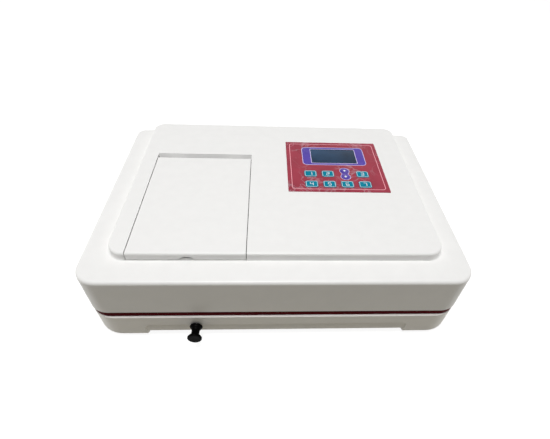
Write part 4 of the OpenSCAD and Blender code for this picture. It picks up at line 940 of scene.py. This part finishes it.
@dataclass
class Tub(Boxed):
    """Moulded tub with a shallow front recess, foot pads at its ends and cooling slots in its floor."""

    node: str = "base_tub"
    wall: float = 3.0 * MM
    corner: float = 35.0 * MM
    corner_rear: float = 18.0 * MM
    corner_least: float = 2.0 * MM
    edge: float = 7.0 * MM
    edge_steps: int = 7
    draft: float = 1.5 * MM
    rim_edge: float = 0.4 * MM
    floor: float = 8.7 * MM
    underside: float = 5.7 * MM
    under_draft: float = 0.5 * MM
    recess_half: float = 170.0 * MM
    recess_top: float = 25.0 * MM
    recess_depth: float = 1.9 * MM
    recess_corner: float = 8.0 * MM
    recess_slope: float = 1.2 * MM
    recess_reach: float = 1.0 * MM
    end_zone: Pair = (-11.0 * MM, 4.0 * MM)
    top_zone: Pair = (-10.0 * MM, 2.0 * MM)
    zone_points: int = 31
    zone_lead: float = 1.0 * MM
    lead_rows: int = 3
    middle_points: int = 10
    arch: float = 5.7 * MM
    arch_fade: float = 12.0 * MM
    pad_slope: float = 3.0 * MM
    bush_hole: float = 4.6 * MM
    bush_reach: float = 30.0 * MM
    bush_sides: int = 40
    vent_size: Pair = (5.0 * MM, 12.0 * MM)
    vent_heights: Pair = (-5.0 * MM, 20.0 * MM)
    vent_pitch: float = 13.0 * MM
    vent_ahead: float = 10.0 * MM
    vents: int = 5

    def level(self, inset: float, z: float) -> np.ndarray:
        """One loop of the tub with closely spaced points where the front recess ends.

        Args:
            inset: how far the loop is drawn in.
            z: height.

        Returns:
            The loop.
        """
        radii, sides = np.array([self.corner_rear, self.corner]), []
        for corner in radii:
            length = self.high[0] - self.low[0] - 2 * corner
            near = (np.linspace(*self.end_zone, self.zone_points) + self.recess_half + length / 2) / length
            middle = np.linspace(1 - near[0], near[0], self.middle_points + 2)[1:-1]
            sides += [np.concatenate([1 - near[::-1], middle, near]), SIDE_SHARES]
        return self.loop((inset,) * 3, np.maximum(radii - inset, self.corner_least), z, tuple(sides))

    def between(self, points: np.ndarray) -> np.ndarray:
        """Weight that is 1 along the front and rear between the foot pads and eases to 0 at the pads."""
        away = np.abs(points[..., 0])
        return ease((self.recess_half - away) / self.pad_slope) * (away < self.high[0] - self.corner)

    def recess(self, points: np.ndarray) -> np.ndarray:
        """Shapes the tub's outer loops: a shallow front recess, raised lower edges and a front that leans in.

        The recess is a smooth step of the signed distance to a rectangle with rounded upper corners. The lower edge
        rises by a smooth step between the foot pads and fades out with height. The front draws in towards its foot
        in proportion to depth below the rim.

        Args:
            points: loops of the tub, all at once.

        Returns:
            The moved points.
        """
        out = points.copy()
        away, ahead, z = np.abs(points[..., 0]), points[..., 1] - self.low[1], points[..., 2] - self.low[2]
        deep = self.edge + self.wall + self.recess_reach
        outer = np.clip((deep - ahead) / deep, 0, 1) * (away < self.high[0] - self.corner)
        q = np.stack([away - self.recess_half, z - self.recess_top], axis=-1) + self.recess_corner
        distance = np.linalg.norm(np.maximum(q, 0), axis=-1) + np.minimum(q.max(axis=-1), 0) - self.recess_corner
        depth = ease(0.5 - distance / self.recess_slope) * self.recess_depth
        lean = np.clip((self.corner - ahead) / self.corner, 0, 1)
        out[..., 1] += outer * depth + lean * self.draft * (1 - z / (self.high[2] - self.low[2]))
        out[..., 2] += self.between(points) * self.arch * np.clip(1 - z / self.arch_fade, 0, 1)
        return out

    def shell(self) -> Object:
        """Lofts the tub as one shell: underside, outer wall with its recess, rim, inner wall and floor."""
        base, top = self.low[2], self.high[2]
        foot, line = base + self.edge, base + self.recess_top
        lead = np.linspace(foot, line + self.top_zone[0] - self.zone_lead, self.lead_rows + 1)[1:]
        levels = np.concatenate([lead, line + np.linspace(*self.top_zone, self.zone_points), [top - self.rim_edge]])
        outer = [(self.edge - out, foot + up) for out, up in arc(self.edge, -90, 0, self.edge_steps)]
        outer += [(0.0, z) for z in levels] + [(self.rim_edge / 3, top - self.rim_edge / 3), (self.rim_edge, top)]
        inset = self.edge + self.wall + self.draft
        under, sole = self.level(inset + self.under_draft, base + self.underside), self.level(inset, base)
        sole[:, 2] += self.between(sole) * self.arch
        shaped = self.recess(np.stack([self.level(*row) for row in outer]))
        inner = [self.level(2 * self.wall, z) for z in (top, base + self.floor)]
        return loft("base_shell", [under, sole, *shaped, *inner])

    def vent_cutters(self) -> list[Object]:
        """Cutters for the cooling slots in the floor, in front of the lamps."""
        lamps = span("lamp_housing")[0]
        y, (width, depth) = lamps[1] - self.vent_ahead, self.vent_size
        down, up = self.low[2] + np.array(self.vent_heights)
        return [block((x, y, down), (x + width, y + depth, up))
                for x in lamps[0] + self.vent_pitch * (np.arange(self.vents) + 0.5)]

    def build(self) -> None:
        """Builds the shell and cuts the pull rod's hole and the cooling slots."""
        obj = self.shell()
        bore = drill(self.bush_hole, self.bush_reach, middle_of("rod_bush"), Axis.Y, self.bush_sides)
        carve(obj, [bore] + self.vent_cutters())
        even_normals(obj)
        place_piece(obj, "casing", IVORY, "white_casing", "base_tub")


@dataclass
class Band(Boxed):
    """Dark red band between the tub and the cover."""

    node: str = "accent_band"
    corner: float = 26.5 * MM
    corner_rear: float = 10.5 * MM
    steps: int = 12
    wall: float = 2.5 * MM
    bevel: Pair = (0.3 * MM, 0.4 * MM)

    def build(self) -> None:
        """Carries a bevelled strip's section round the casing."""
        base, top, (across, up) = self.low[2], self.high[2], self.bevel
        section = ((self.wall, base), (across, base), (0.0, base + up), (0.0, top - up), (across, top),
                   (self.wall, top), (self.wall, base))
        radii = np.array([self.corner_rear, self.corner])
        loops = [self.loop((inset,) * 3, radii - inset, z, steps=self.steps) for inset, z in section]
        place_piece(loft("accent_ring", loops, Ends.OPEN), "casing", MAROON, "accent_red", "accent_band")


@dataclass
class Feet(Boxed):
    """Four rubber feet, turned with a rounded and grooved sole, under the tub's round bosses."""

    node: str = "rubber_feet"
    radius: float = 10.0 * MM
    edge: float = 1.0 * MM
    groove_depth: float = 0.5 * MM
    groove_shares: tuple[float, float, float, float] = (0.55, 0.6, 0.72, 0.76)
    boss: float = 13.0 * MM
    boss_edge: float = 0.6 * MM
    boss_height: float = 6.2 * MM
    sides: int = 40
    boss_sides: int = 48

    def build(self) -> None:
        """Turns the bosses and the feet, each kind joined to one piece."""
        radius, edge, height, deep = self.radius, self.edge, self.high[2] - self.low[2], self.groove_depth
        groove = np.column_stack([radius * np.array(self.groove_shares), [0, deep, deep, 0]])
        sole = np.concatenate([[[0.0, 0.0]], groove, np.array([radius - edge, edge]) + arc(edge, -90, 0, EDGE_STEPS),
                               [[radius, height], [0.0, height]]])
        boss = np.array([[0.0, 0.0], [self.boss - self.boss_edge, 0.0], [self.boss, self.boss_edge],
                         [self.boss, self.boss_height]])
        places = [(x, y) for x in (self.low[0] + radius, self.high[0] - radius)
                  for y in (self.low[1] + radius, self.high[1] - radius)]
        pads = [revolve("foot", sole, np.array([x, y, self.low[2]]), Axis.Z, self.sides) for x, y in places]
        bosses = [revolve("boss", boss, np.array([x, y, self.high[2]]), Axis.Z, self.boss_sides) for x, y in places]
        place_piece(unite("foot_bosses", bosses), "casing", WHITE, "white_casing")
        place_piece(unite("foot_pads", pads), "casing", RUBBER, "foot_rubber", "rubber_feet")


@dataclass
class SampleLid(Boxed):
    """Hinged sample lid: a flat plate with a front lip, a finger notch and two hinge knuckles."""

    node: str = "sample_lid"
    plate: float = 3.5 * MM
    lip: float = 3.0 * MM
    nose: float = 3.0 * MM
    nose_steps: int = 8
    side_rows: int = 6
    notch_half: float = 9.5 * MM
    notch_rise: float = 5.0 * MM
    notch_points: int = 33
    tongue_in: float = 0.3 * MM
    tongue_rise: float = 2.3 * MM
    tongue_least: float = 0.05 * MM
    knuckle: float = 1.8 * MM
    knuckle_edge: float = 0.3 * MM
    bore: float = 0.95 * MM
    hinge_back: float = 2.5 * MM
    web: float = 1.2 * MM
    knuckle_length: float = 16.0 * MM
    knuckle_in: float = 26.0 * MM
    knuckle_sides: int = 32
    edge: float = 0.5 * MM
    edge_steps: int = 3
    edge_limit: float = 40.0
    edge_sharp: float = 50.0

    def __post_init__(self) -> None:
        """Works out the notch's middle, the hinge's middle and the plate's rear edge."""
        super().__post_init__()
        self.middle = (self.low[0] + self.high[0]) / 2
        self.hinge = middle_of("hinge_pins")
        self.rear = self.hinge[1] - self.hinge_back

    def section(self, rise: float) -> np.ndarray:
        """Closed section of the lid across its width, in y and z, with a rounded front upper edge.

        Args:
            rise: how far the lip's lower edge is raised here.

        Returns:
            The points.
        """
        front, top = self.low[1], self.high[2]
        nose = np.array([front + self.nose, top - self.nose]) + arc(self.nose, 180, 90, self.nose_steps)
        plate, bottom, lip = top - self.plate, self.low[2] + rise, front + self.lip
        return np.concatenate([[[lip, bottom], [front, bottom]], nose, [[self.rear, top], [self.rear, plate],
                               [lip, plate]]])

    def panel(self) -> None:
        """Carries the section along the lid and raises it over the notch by a circle's arc."""
        half, rise = self.notch_half, self.notch_rise
        radius = (half ** 2 + rise ** 2) / (2 * rise)
        places = np.concatenate([np.linspace(self.low[0], self.middle - half, self.side_rows + 1)[:-1],
                                 self.middle + np.linspace(-1, 1, self.notch_points) * half,
                                 np.linspace(self.middle + half, self.high[0], self.side_rows + 1)[1:]])
        away = np.minimum(np.abs(places - self.middle), half)
        rises = np.maximum(np.sqrt(radius ** 2 - away ** 2) - radius + rise, 0)
        lid = loft("lid_plate", [stand(self.section(up), x)[::-1] for x, up in zip(places, rises)])
        soften(lid, self.edge, self.edge_steps, self.edge_limit, self.edge_sharp)
        place_piece(lid, "lid", WHITE, "white_casing", "sample_lid")

    def tongue(self) -> None:
        """Adds the low tongue in the finger notch, a parabola that leaves a crescent open above it."""
        front, back, foot = self.low[1] + self.tongue_in, self.low[1] + self.lip, self.low[2]
        loops = []
        for share in np.linspace(-1, 1, self.notch_points):
            top = foot + self.tongue_least + self.tongue_rise * (1 - share ** 2)
            section = np.array([[front, foot], [back, foot], [back, top], [front, top]])
            loops.append(stand(section, self.middle + share * self.notch_half))
        place_piece(loft("notch_tongue", loops), "lid", WHITE, "white_casing")

    def knuckles(self) -> None:
        """Adds the two turned knuckles and the webs that tie them to the plate."""
        half, r, e, bore = self.knuckle_length / 2, self.knuckle, self.knuckle_edge, self.bore
        profile = np.array([[bore, -half], [r - e, -half], [r, e - half], [r, half - e], [r - e, half], [bore, half],
                            [bore, -half]])
        _, y, z = self.hinge
        parts = []
        for x in (self.low[0] + self.knuckle_in, self.high[0] - self.knuckle_in):
            parts.append(revolve("knuckle", profile, np.array([x, y, z]), Axis.X, self.knuckle_sides))
            parts.append(block((x - half, self.rear - self.web, z + r - self.web), (x + half, y, z + r)))
        place_piece(unite("lid_knuckles", parts), "lid", WHITE, "white_casing")

    def build(self) -> None:
        """Builds the lid's three pieces."""
        self.panel()
        self.tongue()
        self.knuckles()


@dataclass
class Keypad(Boxed):
    """Printed keypad film with its line, display surround, display pane and nine keys."""

    node: str = "keypad_overlay"
    film_corner: float = 1.5 * MM
    line_inset: float = 5.5 * MM
    line: float = 0.9 * MM
    line_corner: float = 5.0 * MM
    surround: Pair = (98.9 * MM, 50.1 * MM)
    surround_corner: float = 7.0 * MM
    outline: float = 1.0 * MM
    film_edge: float = 0.12 * MM
    print_rise: float = 0.06 * MM
    print_sink: float = 0.1 * MM
    print_edge: float = 0.02 * MM
    pane_drop: float = 0.35 * MM
    pane_corner: float = 1.0 * MM
    pane_edge: float = 0.15 * MM
    pane_line_corner: float = 1.8 * MM
    far: float = 5.0 * MM
    key_corner: float = 3.2 * MM
    key_depth: float = 3.0 * MM
    key_edge: float = 0.3 * MM
    key_line: float = 0.8 * MM
    key_line_in: float = 0.7 * MM
    collar: float = 0.9 * MM
    gap: float = 0.3 * MM
    digit_half: Pair = (2.0 * MM, 3.4 * MM)
    digit_bar: float = 0.45 * MM
    digit_gap: float = 0.05 * MM
    round_trim: float = 0.7 * MM
    round_sides: int = 48
    eight_radius: float = 7.6 * MM
    eight_line: float = 0.75 * MM
    eight_points: int = 96
    eight_halvings: int = 40
    arrow_half: float = 2.4 * MM
    arrow_tip: float = 2.2 * MM
    arrow_neck: float = 0.6 * MM
    arrow_shoulder: float = -0.9 * MM
    arrow_foot: float = -2.4 * MM

    def printed(self, top: float, layers: int = 1) -> Pair:
        """Gives the lower and upper heights of print on a surface, for one or more layers of ink."""
        return top - self.print_sink, top + layers * self.print_rise

    def window(self) -> Object:
        """Cutter for the display window."""
        low, high = span("display_window")
        return rounded_cutter(low - [0, 0, self.far], high + [0, 0, self.far], self.pane_corner)

    def film(self) -> None:
        """Builds the film with its holes and its printed line."""
        sheet = slab("overlay_film", self.low, self.high, self.film_corner, self.film_edge)
        cutters = [self.window()]
        room = np.array([self.gap, self.gap, self.far])
        for node in NODE_SLOT["key_teal"]:
            low, high = self.cap_box(node)
            cutters.append(rounded_cutter(low - room, high + room, self.key_corner + self.gap))
        carve(sheet, cutters + self.round_holes())
        even_normals(sheet)
        place_piece(sheet, "casing", CRIMSON, "overlay_red", "keypad_overlay")
        edge = ring("overlay_line", self.low[:2] + self.line_inset, self.high[:2] - self.line_inset, self.line_corner,
                    self.line, *self.printed(self.high[2]))
        place_piece(edge, "casing", PINK, "overlay_red")

    def round_holes(self) -> list[Object]:
        """Cutters for the two round keys."""
        cutters = []
        for node in NODE_SLOT["key_purple"]:
            middle, radius = self.round_cap(node)
            cutters.append(drill(radius + self.gap, self.far, middle, Axis.Z, self.round_sides))
        return cutters

    def round_cap(self, node: str) -> tuple[np.ndarray, float]:
        """Middle of a round key's top and the radius of its cap.

        Args:
            node: key node.

        Returns:
            The middle and the radius.
        """
        low, high = self.cap_box(node)
        return np.array([*(low + high)[:2] / 2, high[2]]), float((high[0] - low[0]) / 2 - self.round_trim)

    def eight(self, inward: float) -> np.ndarray:
        """Outline round both arrow keys, a smooth union of two circles, drawn in along its normals.

        On the outline the inverse fourth powers of the distances to the two keys add up to that of the radius. Each
        point is found on its ray from the midpoint by halving the interval.

        Args:
            inward: how far the outline is drawn in.

        Returns:
            The loop in the plane.
        """
        upper, lower = (self.round_cap(node)[0][:2] for node in NODE_SLOT["key_purple"])
        half = np.linalg.norm(upper - lower) / 2
        along = (upper - lower) / (2 * half)
        turn = np.linspace(0, 2 * np.pi, self.eight_points, endpoint=False)
        rays = np.cos(turn)[:, None] * along + np.sin(turn)[:, None] * np.array([-along[1], along[0]])
        near, far = np.zeros(len(turn)), np.full(len(turn), half + 2 * self.eight_radius)
        for _ in range(self.eight_halvings):
            reach = (near + far) / 2
            squares = reach ** 2 + half ** 2 + np.outer([-2, 2], half * reach * np.cos(turn))
            inside = (squares ** -2.0).sum(axis=0) > self.eight_radius ** -4.0
            near, far = np.where(inside, reach, near), np.where(inside, far, reach)
        loop = near[:, None] * rays
        run = np.roll(loop, -1, axis=0) - np.roll(loop, 1, axis=0)
        normal = np.column_stack([run[:, 1], -run[:, 0]]) / np.linalg.norm(run, axis=1)[:, None]
        return (upper + lower) / 2 + loop - inward * normal

    def arrow_panel(self) -> None:
        """Prints the purple patch round the arrow keys and its pale outline."""
        inner, outer, heights = self.eight(self.eight_line), self.eight(0.0), self.printed(self.high[2])
        patch = prism("arrow_panel", inner, *heights)
        carve(patch, self.round_holes())
        place_piece(patch, "casing", PURPLE, "key_purple")
        place_piece(hoop("arrow_line", inner, outer, *heights), "casing", LAVENDER, "key_purple")

    def cap_box(self, node: str) -> tuple[np.ndarray, np.ndarray]:
        """Corners of a key's cap, without the flange that holds it under the film.

        Args:
            node: key node.

        Returns:
            The two corners.
        """
        low, high = span(node)
        flange = np.array([self.collar, self.collar, 0])
        return low + flange, high - flange

    def display(self) -> None:
        """Builds the purple surround, its pale outline, the display pane and the line round the pane."""
        low, high = span("display_window")
        middle, half = (low + high)[:2] / 2, np.array(self.surround) / 2
        panel_low, panel_high = middle - half, middle + half
        sunk, risen = self.printed(self.high[2])
        doubled = self.printed(self.high[2], 2)
        body = slab("display_surround", np.array([*panel_low, sunk]), np.array([*panel_high, risen]),
                    self.surround_corner, self.print_edge)
        carve(body, [self.window()])
        place_piece(body, "casing", PURPLE, "key_purple")
        edge = ring("surround_line", panel_low, panel_high, self.surround_corner, self.outline, *doubled)
        place_piece(edge, "casing", LAVENDER, "key_purple")
        pane = slab("display_pane", low, high - [0, 0, self.pane_drop], self.pane_corner, self.pane_edge)
        place_piece(pane, "casing", SCREEN, "display_glass", "display_window")
        trim = ring("pane_line", low[:2] - self.outline, high[:2] + self.outline, self.pane_line_corner, self.outline,
                    *doubled)
        place_piece(trim, "casing", LAVENDER, "display_glass")

    def key(self, node: str, number: int) -> None:
        """Builds one oblong key with its outline and number.

        Args:
            node: key node.
            number: digit printed on it.
        """
        low, high = self.cap_box(node)
        body, inset = node + "_cap", self.key_line_in
        cap = slab(node + "_film", np.array([*low[:2], high[2] - self.key_depth]), high, self.key_corner, self.key_edge)
        place_piece(cap, body, TEAL, "key_teal", node)
        edge = ring(node + "_line", low[:2] + inset, high[:2] - inset, self.key_corner - inset, self.key_line,
                    *self.printed(high[2]))
        place_piece(edge, body, PALE_TEAL, "key_teal")
        bars = self.digit(number) + np.tile((low + high)[:2] / 2, 2)
        sunk, risen = self.printed(high[2])
        mark = unite(node + "_mark", [block((x0, y0, sunk), (x1, y1, risen)) for x0, y0, x1, y1 in bars])
        place_piece(mark, body, INK, "key_teal")

    def digit(self, number: int) -> np.ndarray:
        """Plain digit made of up to seven short bars about the key's middle.

        Args:
            number: digit.

        Returns:
            Lower x and y and upper x and y of each bar.
        """
        (w, h), t, e = self.digit_half, self.digit_bar, self.digit_gap
        bars = {"a": (-w, h - t, w, h + t), "b": (w - t, e, w + t, h), "c": (w - t, -h, w + t, -e),
                "d": (-w, -h - t, w, t - h), "e": (-w - t, -h, t - w, -e), "f": (-w - t, e, t - w, h),
                "g": (-w, -t, w, t)}
        used = {1: "bc", 2: "abged", 3: "abgcd", 4: "fgbc", 5: "afgcd", 6: "afgedc", 7: "abc"}[number]
        return np.array([bars[letter] for letter in used])

    def round_key(self, node: str, symbol: Symbol) -> None:
        """Builds one round key with its arrow.

        Args:
            node: key node.
            symbol: which way the arrow points.
        """
        middle, radius = self.round_cap(node)
        body, e = node + "_cap", self.key_edge
        profile = np.concatenate([[[0.0, -self.key_depth], [radius, -self.key_depth]],
                                  np.array([radius - e, -e]) + arc(e, 0, 90, EDGE_STEPS), [[0.0, 0.0]]])
        cap = revolve(node + "_film", profile, middle, Axis.Z, self.round_sides)
        place_piece(cap, body, PURPLE, "key_purple", node)
        half, neck, shoulder, foot = self.arrow_half, self.arrow_neck, self.arrow_shoulder, self.arrow_foot
        arrow = np.array([[-half, shoulder], [0, self.arrow_tip], [half, shoulder], [neck, shoulder], [neck, foot],
                          [-neck, foot], [-neck, shoulder]])
        plan = (arrow[::-1] if symbol is Symbol.UP else arrow) * [1, symbol.value] + middle[:2]
        place_piece(prism(node + "_mark", plan, *self.printed(middle[2])), body, INK, "key_purple")

    def build(self) -> None:
        """Builds the film, the display and all keys."""
        self.film()
        self.display()
        for number, node in enumerate(NODE_SLOT["key_teal"], start=1):
            self.key(node, number)
        self.arrow_panel()
        self.round_key("key_up", Symbol.UP)
        self.round_key("key_down", Symbol.DOWN)


@dataclass
class PullKnob(Boxed):
    """Turned black knob of the rod that pulls the cell carriage."""

    node: str = "rod_knob"
    rear: float = 8.0 * MM
    waist: float = 5.0 * MM
    front: float = 9.0 * MM
    front_length: float = 3.0 * MM
    rear_length: float = 2.5 * MM
    edge: float = 1.0 * MM
    edge_steps: int = 5
    dish: Pair = (0.35 * MM, 0.2 * MM)
    waist_power: int = 5
    waist_points: int = 17
    sides: int = 72
    sharp: float = 60.0

    def quarter(self, radius: float, length: float, start: float) -> np.ndarray:
        """Quarter circle of the edge's radius about a point of the profile, from an angle on."""
        return np.array([radius, length]) + arc(self.edge, start, start + 90, self.edge_steps)

    def build(self) -> None:
        """Turns the knob's profile, two rounded flanges joined by a waist that swells as a cosine."""
        length, e = self.high[1] - self.low[1], self.edge
        centre = (self.low + self.high) / 2
        centre[1] = self.low[1]
        front, rear, start, stop = self.front - e, self.rear - e, self.front_length, length - self.rear_length
        neck = np.linspace(0, np.pi, self.waist_points)
        along = start + (stop - start) * neck / np.pi
        blend = np.where(neck < np.pi / 2, front, rear)
        swell = self.waist + (blend - self.waist) * np.abs(np.cos(neck)) ** self.waist_power
        profile = np.concatenate([
            [[0.0, self.dish[0]], [self.front / 2, self.dish[1]]], self.quarter(front, e, -90),
            self.quarter(front, start - e, 0), np.column_stack([swell, along])[1:-1],
            self.quarter(rear, stop + e, -90), self.quarter(rear, length - e, 0), [[0.0, length]]])
        knob = revolve("pull_knob", profile, centre, Axis.Y, self.sides, self.sharp)
        place_piece(knob, "carriage", BLACK, "black_plastic", "rod_knob")


@dataclass
class Fittings:
    """Pieces that keep the CAD's form: copies with rounded edges outside, plain CAD pieces inside."""

    edge: float = 0.4 * MM
    edge_steps: int = 2
    edge_limit: float = 50.0
    edge_sharp: float = 40.0
    flat: float = 1.0
    merge_digits: int = 7
    rounded: tuple[str, ...] = ("mains_inlet", "switch_bezel", "fuse_carrier", "data_port", "rocker_switch",
                                "fan_frame", "fan_rotor", "hinge_brackets", "sample_chamber", "cell_carriage",
                                "rod_bush", "pull_rod", "cover_screws")

    def build(self) -> None:
        """Finishes every CAD node that is still shown and rounds the edges of those that can be seen."""
        slot_of = {node: slot for slot, nodes in NODE_SLOT.items() for node in nodes}
        for name, node in frame["nodes"].items():
            slot = slot_of[name]
            if name in self.rounded:
                self.rounded_copy(name, node, slot)
            elif not node.hide_render:
                SLOT_FINISH[slot].on(node)

    def rounded_copy(self, name: str, node: Object, slot: str) -> None:
        """Copies a node with its doubled corners merged and its sharp edges rounded.

        Args:
            name: CAD node.
            node: its object.
            slot: its material slot.
        """
        kept, index = np.unique(np.round(vertices_of(node.data), self.merge_digits), axis=0, return_inverse=True)
        index = index.ravel().tolist()
        faces = [list(dict.fromkeys(index[i] for i in face.vertices)) for face in node.data.polygons]
        copy = mesh_object(name + "_edged", kept, [ids for ids in faces if len(ids) > 2])
        join = copy.modifiers.new("flat_faces", "DECIMATE")
        join.decimate_type = "DISSOLVE"
        join.angle_limit = math.radians(self.flat)
        settle(copy)
        soften(copy, self.edge, self.edge_steps, self.edge_limit, self.edge_sharp)
        place_piece(copy, node["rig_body"], SLOT_FINISH[slot], slot, name)


@dataclass
class Studio:
    """White sweep, soft lights and the camera of the photograph."""

    position: Triple = (-15.336 * MM, -433.29 * MM, 445.356 * MM)
    yaw: float = 5.0727
    pitch: float = 46.5432
    roll: float = -3.8115
    lens: float = 24.622
    shift: Pair = (-0.0266, 0.0628)
    sensor: float = 36.0
    nearest: float = 10.0 * MM
    key_place: Triple = (-0.1, -0.3, 2.4)
    key_target: Triple = (0.0, 0.0, 0.1)
    key_size: float = 1.0
    key_power: float = 49.5
    fill_places: tuple = ((-1.5, 0.05, 0.14), (1.5, 0.05, 0.14), (0.0, 1.6, 0.14))
    fill_target: Triple = (0.0, 0.0, 0.06)
    fill_size: float = 0.24
    fill_power: float = 5.0
    overhead: float = 0.9
    sky: float = 0.12
    floor_half: float = 3.0
    floor_drop: float = 0.02 * MM
    floor_colour: Triple = (0.24, 0.21, 0.14)
    floor_roughness: float = 0.9
    floor_glow: float = 0.9
    floor_shade: float = 0.3

    def camera(self) -> None:
        """Places the camera from its yaw, downward pitch and roll."""
        yaw, pitch, roll = (math.radians(a) for a in (self.yaw, self.pitch, self.roll))
        forward = np.array([math.sin(yaw) * math.cos(pitch), math.cos(yaw) * math.cos(pitch), -math.sin(pitch)])
        right = np.array([math.cos(yaw), -math.sin(yaw), 0.0])
        down = np.cross(forward, right)
        across = math.cos(roll) * right + math.sin(roll) * down
        below = -math.sin(roll) * right + math.cos(roll) * down
        data = bpy.data.cameras.new("camera")
        data.sensor_width = self.sensor
        data.lens = self.lens
        data.shift_x, data.shift_y = self.shift
        data.clip_start = self.nearest
        obj = link("camera", data)
        self.turn(obj, across, -below, -forward, self.position)
        bpy.context.scene.camera = obj

    def turn(self, obj: Object, *columns: np.ndarray) -> None:
        """Places an object from its three axes and its position."""
        matrix = np.eye(4)
        matrix[:3] = np.column_stack(columns)
        obj.matrix_world = Matrix(matrix.tolist())

    def lamp(self, name: str, place: Triple, target: Triple, size: float, power: float, glossy: bool = True) -> None:
        """Adds a square area light that faces a point.

        Args:
            name: light name.
            place: where it hangs.
            target: point it faces.
            size: edge length.
            power: watts.
            glossy: whether it shows in shiny surfaces.
        """
        data = bpy.data.lights.new(name, "AREA")
        data.shape = "SQUARE"
        data.size = size
        data.energy = power
        obj = link(name, data)
        away = np.array(place) - np.array(target)
        away /= np.linalg.norm(away)
        side = np.cross([0.0, 1.0, 0.0] if abs(away[2]) > self.overhead else [0.0, 0.0, 1.0], away)
        side /= np.linalg.norm(side)
        self.turn(obj, side, np.cross(away, side), away, place)
        obj.visible_camera = False
        obj.visible_glossy = glossy

    def backdrop(self) -> None:
        """Lays a pale floor that the camera sees as white with a faint shadow, and a sky that lights softly."""
        half, z = self.floor_half, -self.floor_drop
        floor = mesh_object("floor", np.array([[-half, -half, z], [half, -half, z], [half, half, z], [-half, half, z]]),
                            [[0, 1, 2, 3]])
        material = bpy.data.materials.new("studio_floor")
        graph = Graph(material)
        nodes = material.node_tree.nodes
        pale = graph.feed(nodes["Principled BSDF"], {"Base Color": (*self.floor_colour, 1),
                                                     "Roughness": self.floor_roughness})
        glow = graph.add("Emission", {"Strength": self.floor_glow})
        shaded = graph.add("BsdfDiffuse", {"Color": (*(self.floor_shade,) * 3, 1)})
        white = graph.add("AddShader", {0: glow.outputs["Emission"], 1: shaded.outputs["BSDF"]})
        mix = graph.add("MixShader", {0: self.seen(graph), 1: pale.outputs["BSDF"], 2: white.outputs["Shader"]})
        graph.feed(nodes["Material Output"], {"Surface": mix.outputs["Shader"]})
        floor.data.materials.append(material)
        world = bpy.data.worlds.new("studio")
        bpy.context.scene.world = world
        graph = Graph(world)
        level = graph.add("MapRange", {"Value": self.seen(graph), "To Min": self.sky, "To Max": 1.0})
        graph.feed(world.node_tree.nodes["Background"], {"Color": (1, 1, 1, 1), "Strength": level.outputs["Result"]})

    def seen(self, graph: Graph) -> NodeSocket:
        """Value that is 1 for rays of the camera, of mirrors and of glass, and 0 for the rays that carry light.

        Args:
            graph: nodes of a material or world.

        Returns:
            The value socket.
        """
        rays = graph.add("LightPath", {}).outputs
        mirrored = graph.maths("MAXIMUM", rays["Is Camera Ray"], rays["Is Glossy Ray"])
        return graph.maths("MAXIMUM", mirrored, rays["Is Transmission Ray"])

    def build(self) -> None:
        """Sets the stage: backdrop, lights, camera and view settings."""
        self.backdrop()
        self.lamp("key", self.key_place, self.key_target, self.key_size, self.key_power)
        for k, place in enumerate(self.fill_places):
            self.lamp(f"fill_{k}", place, self.fill_target, self.fill_size, self.fill_power, glossy=False)
        self.camera()
        bpy.context.scene.view_settings.view_transform = "Standard"


def main() -> None:
    """Builds the pieces and the studio."""
    logging.basicConfig(level=logging.INFO)
    for part in (Cover(), Tub(), Band(), Feet(), SampleLid(), Keypad(), PullKnob(), Fittings(), Studio()):
        part.build()
        LOG.info("%s built", type(part).__name__)


if __name__ == "__main__":
    main()
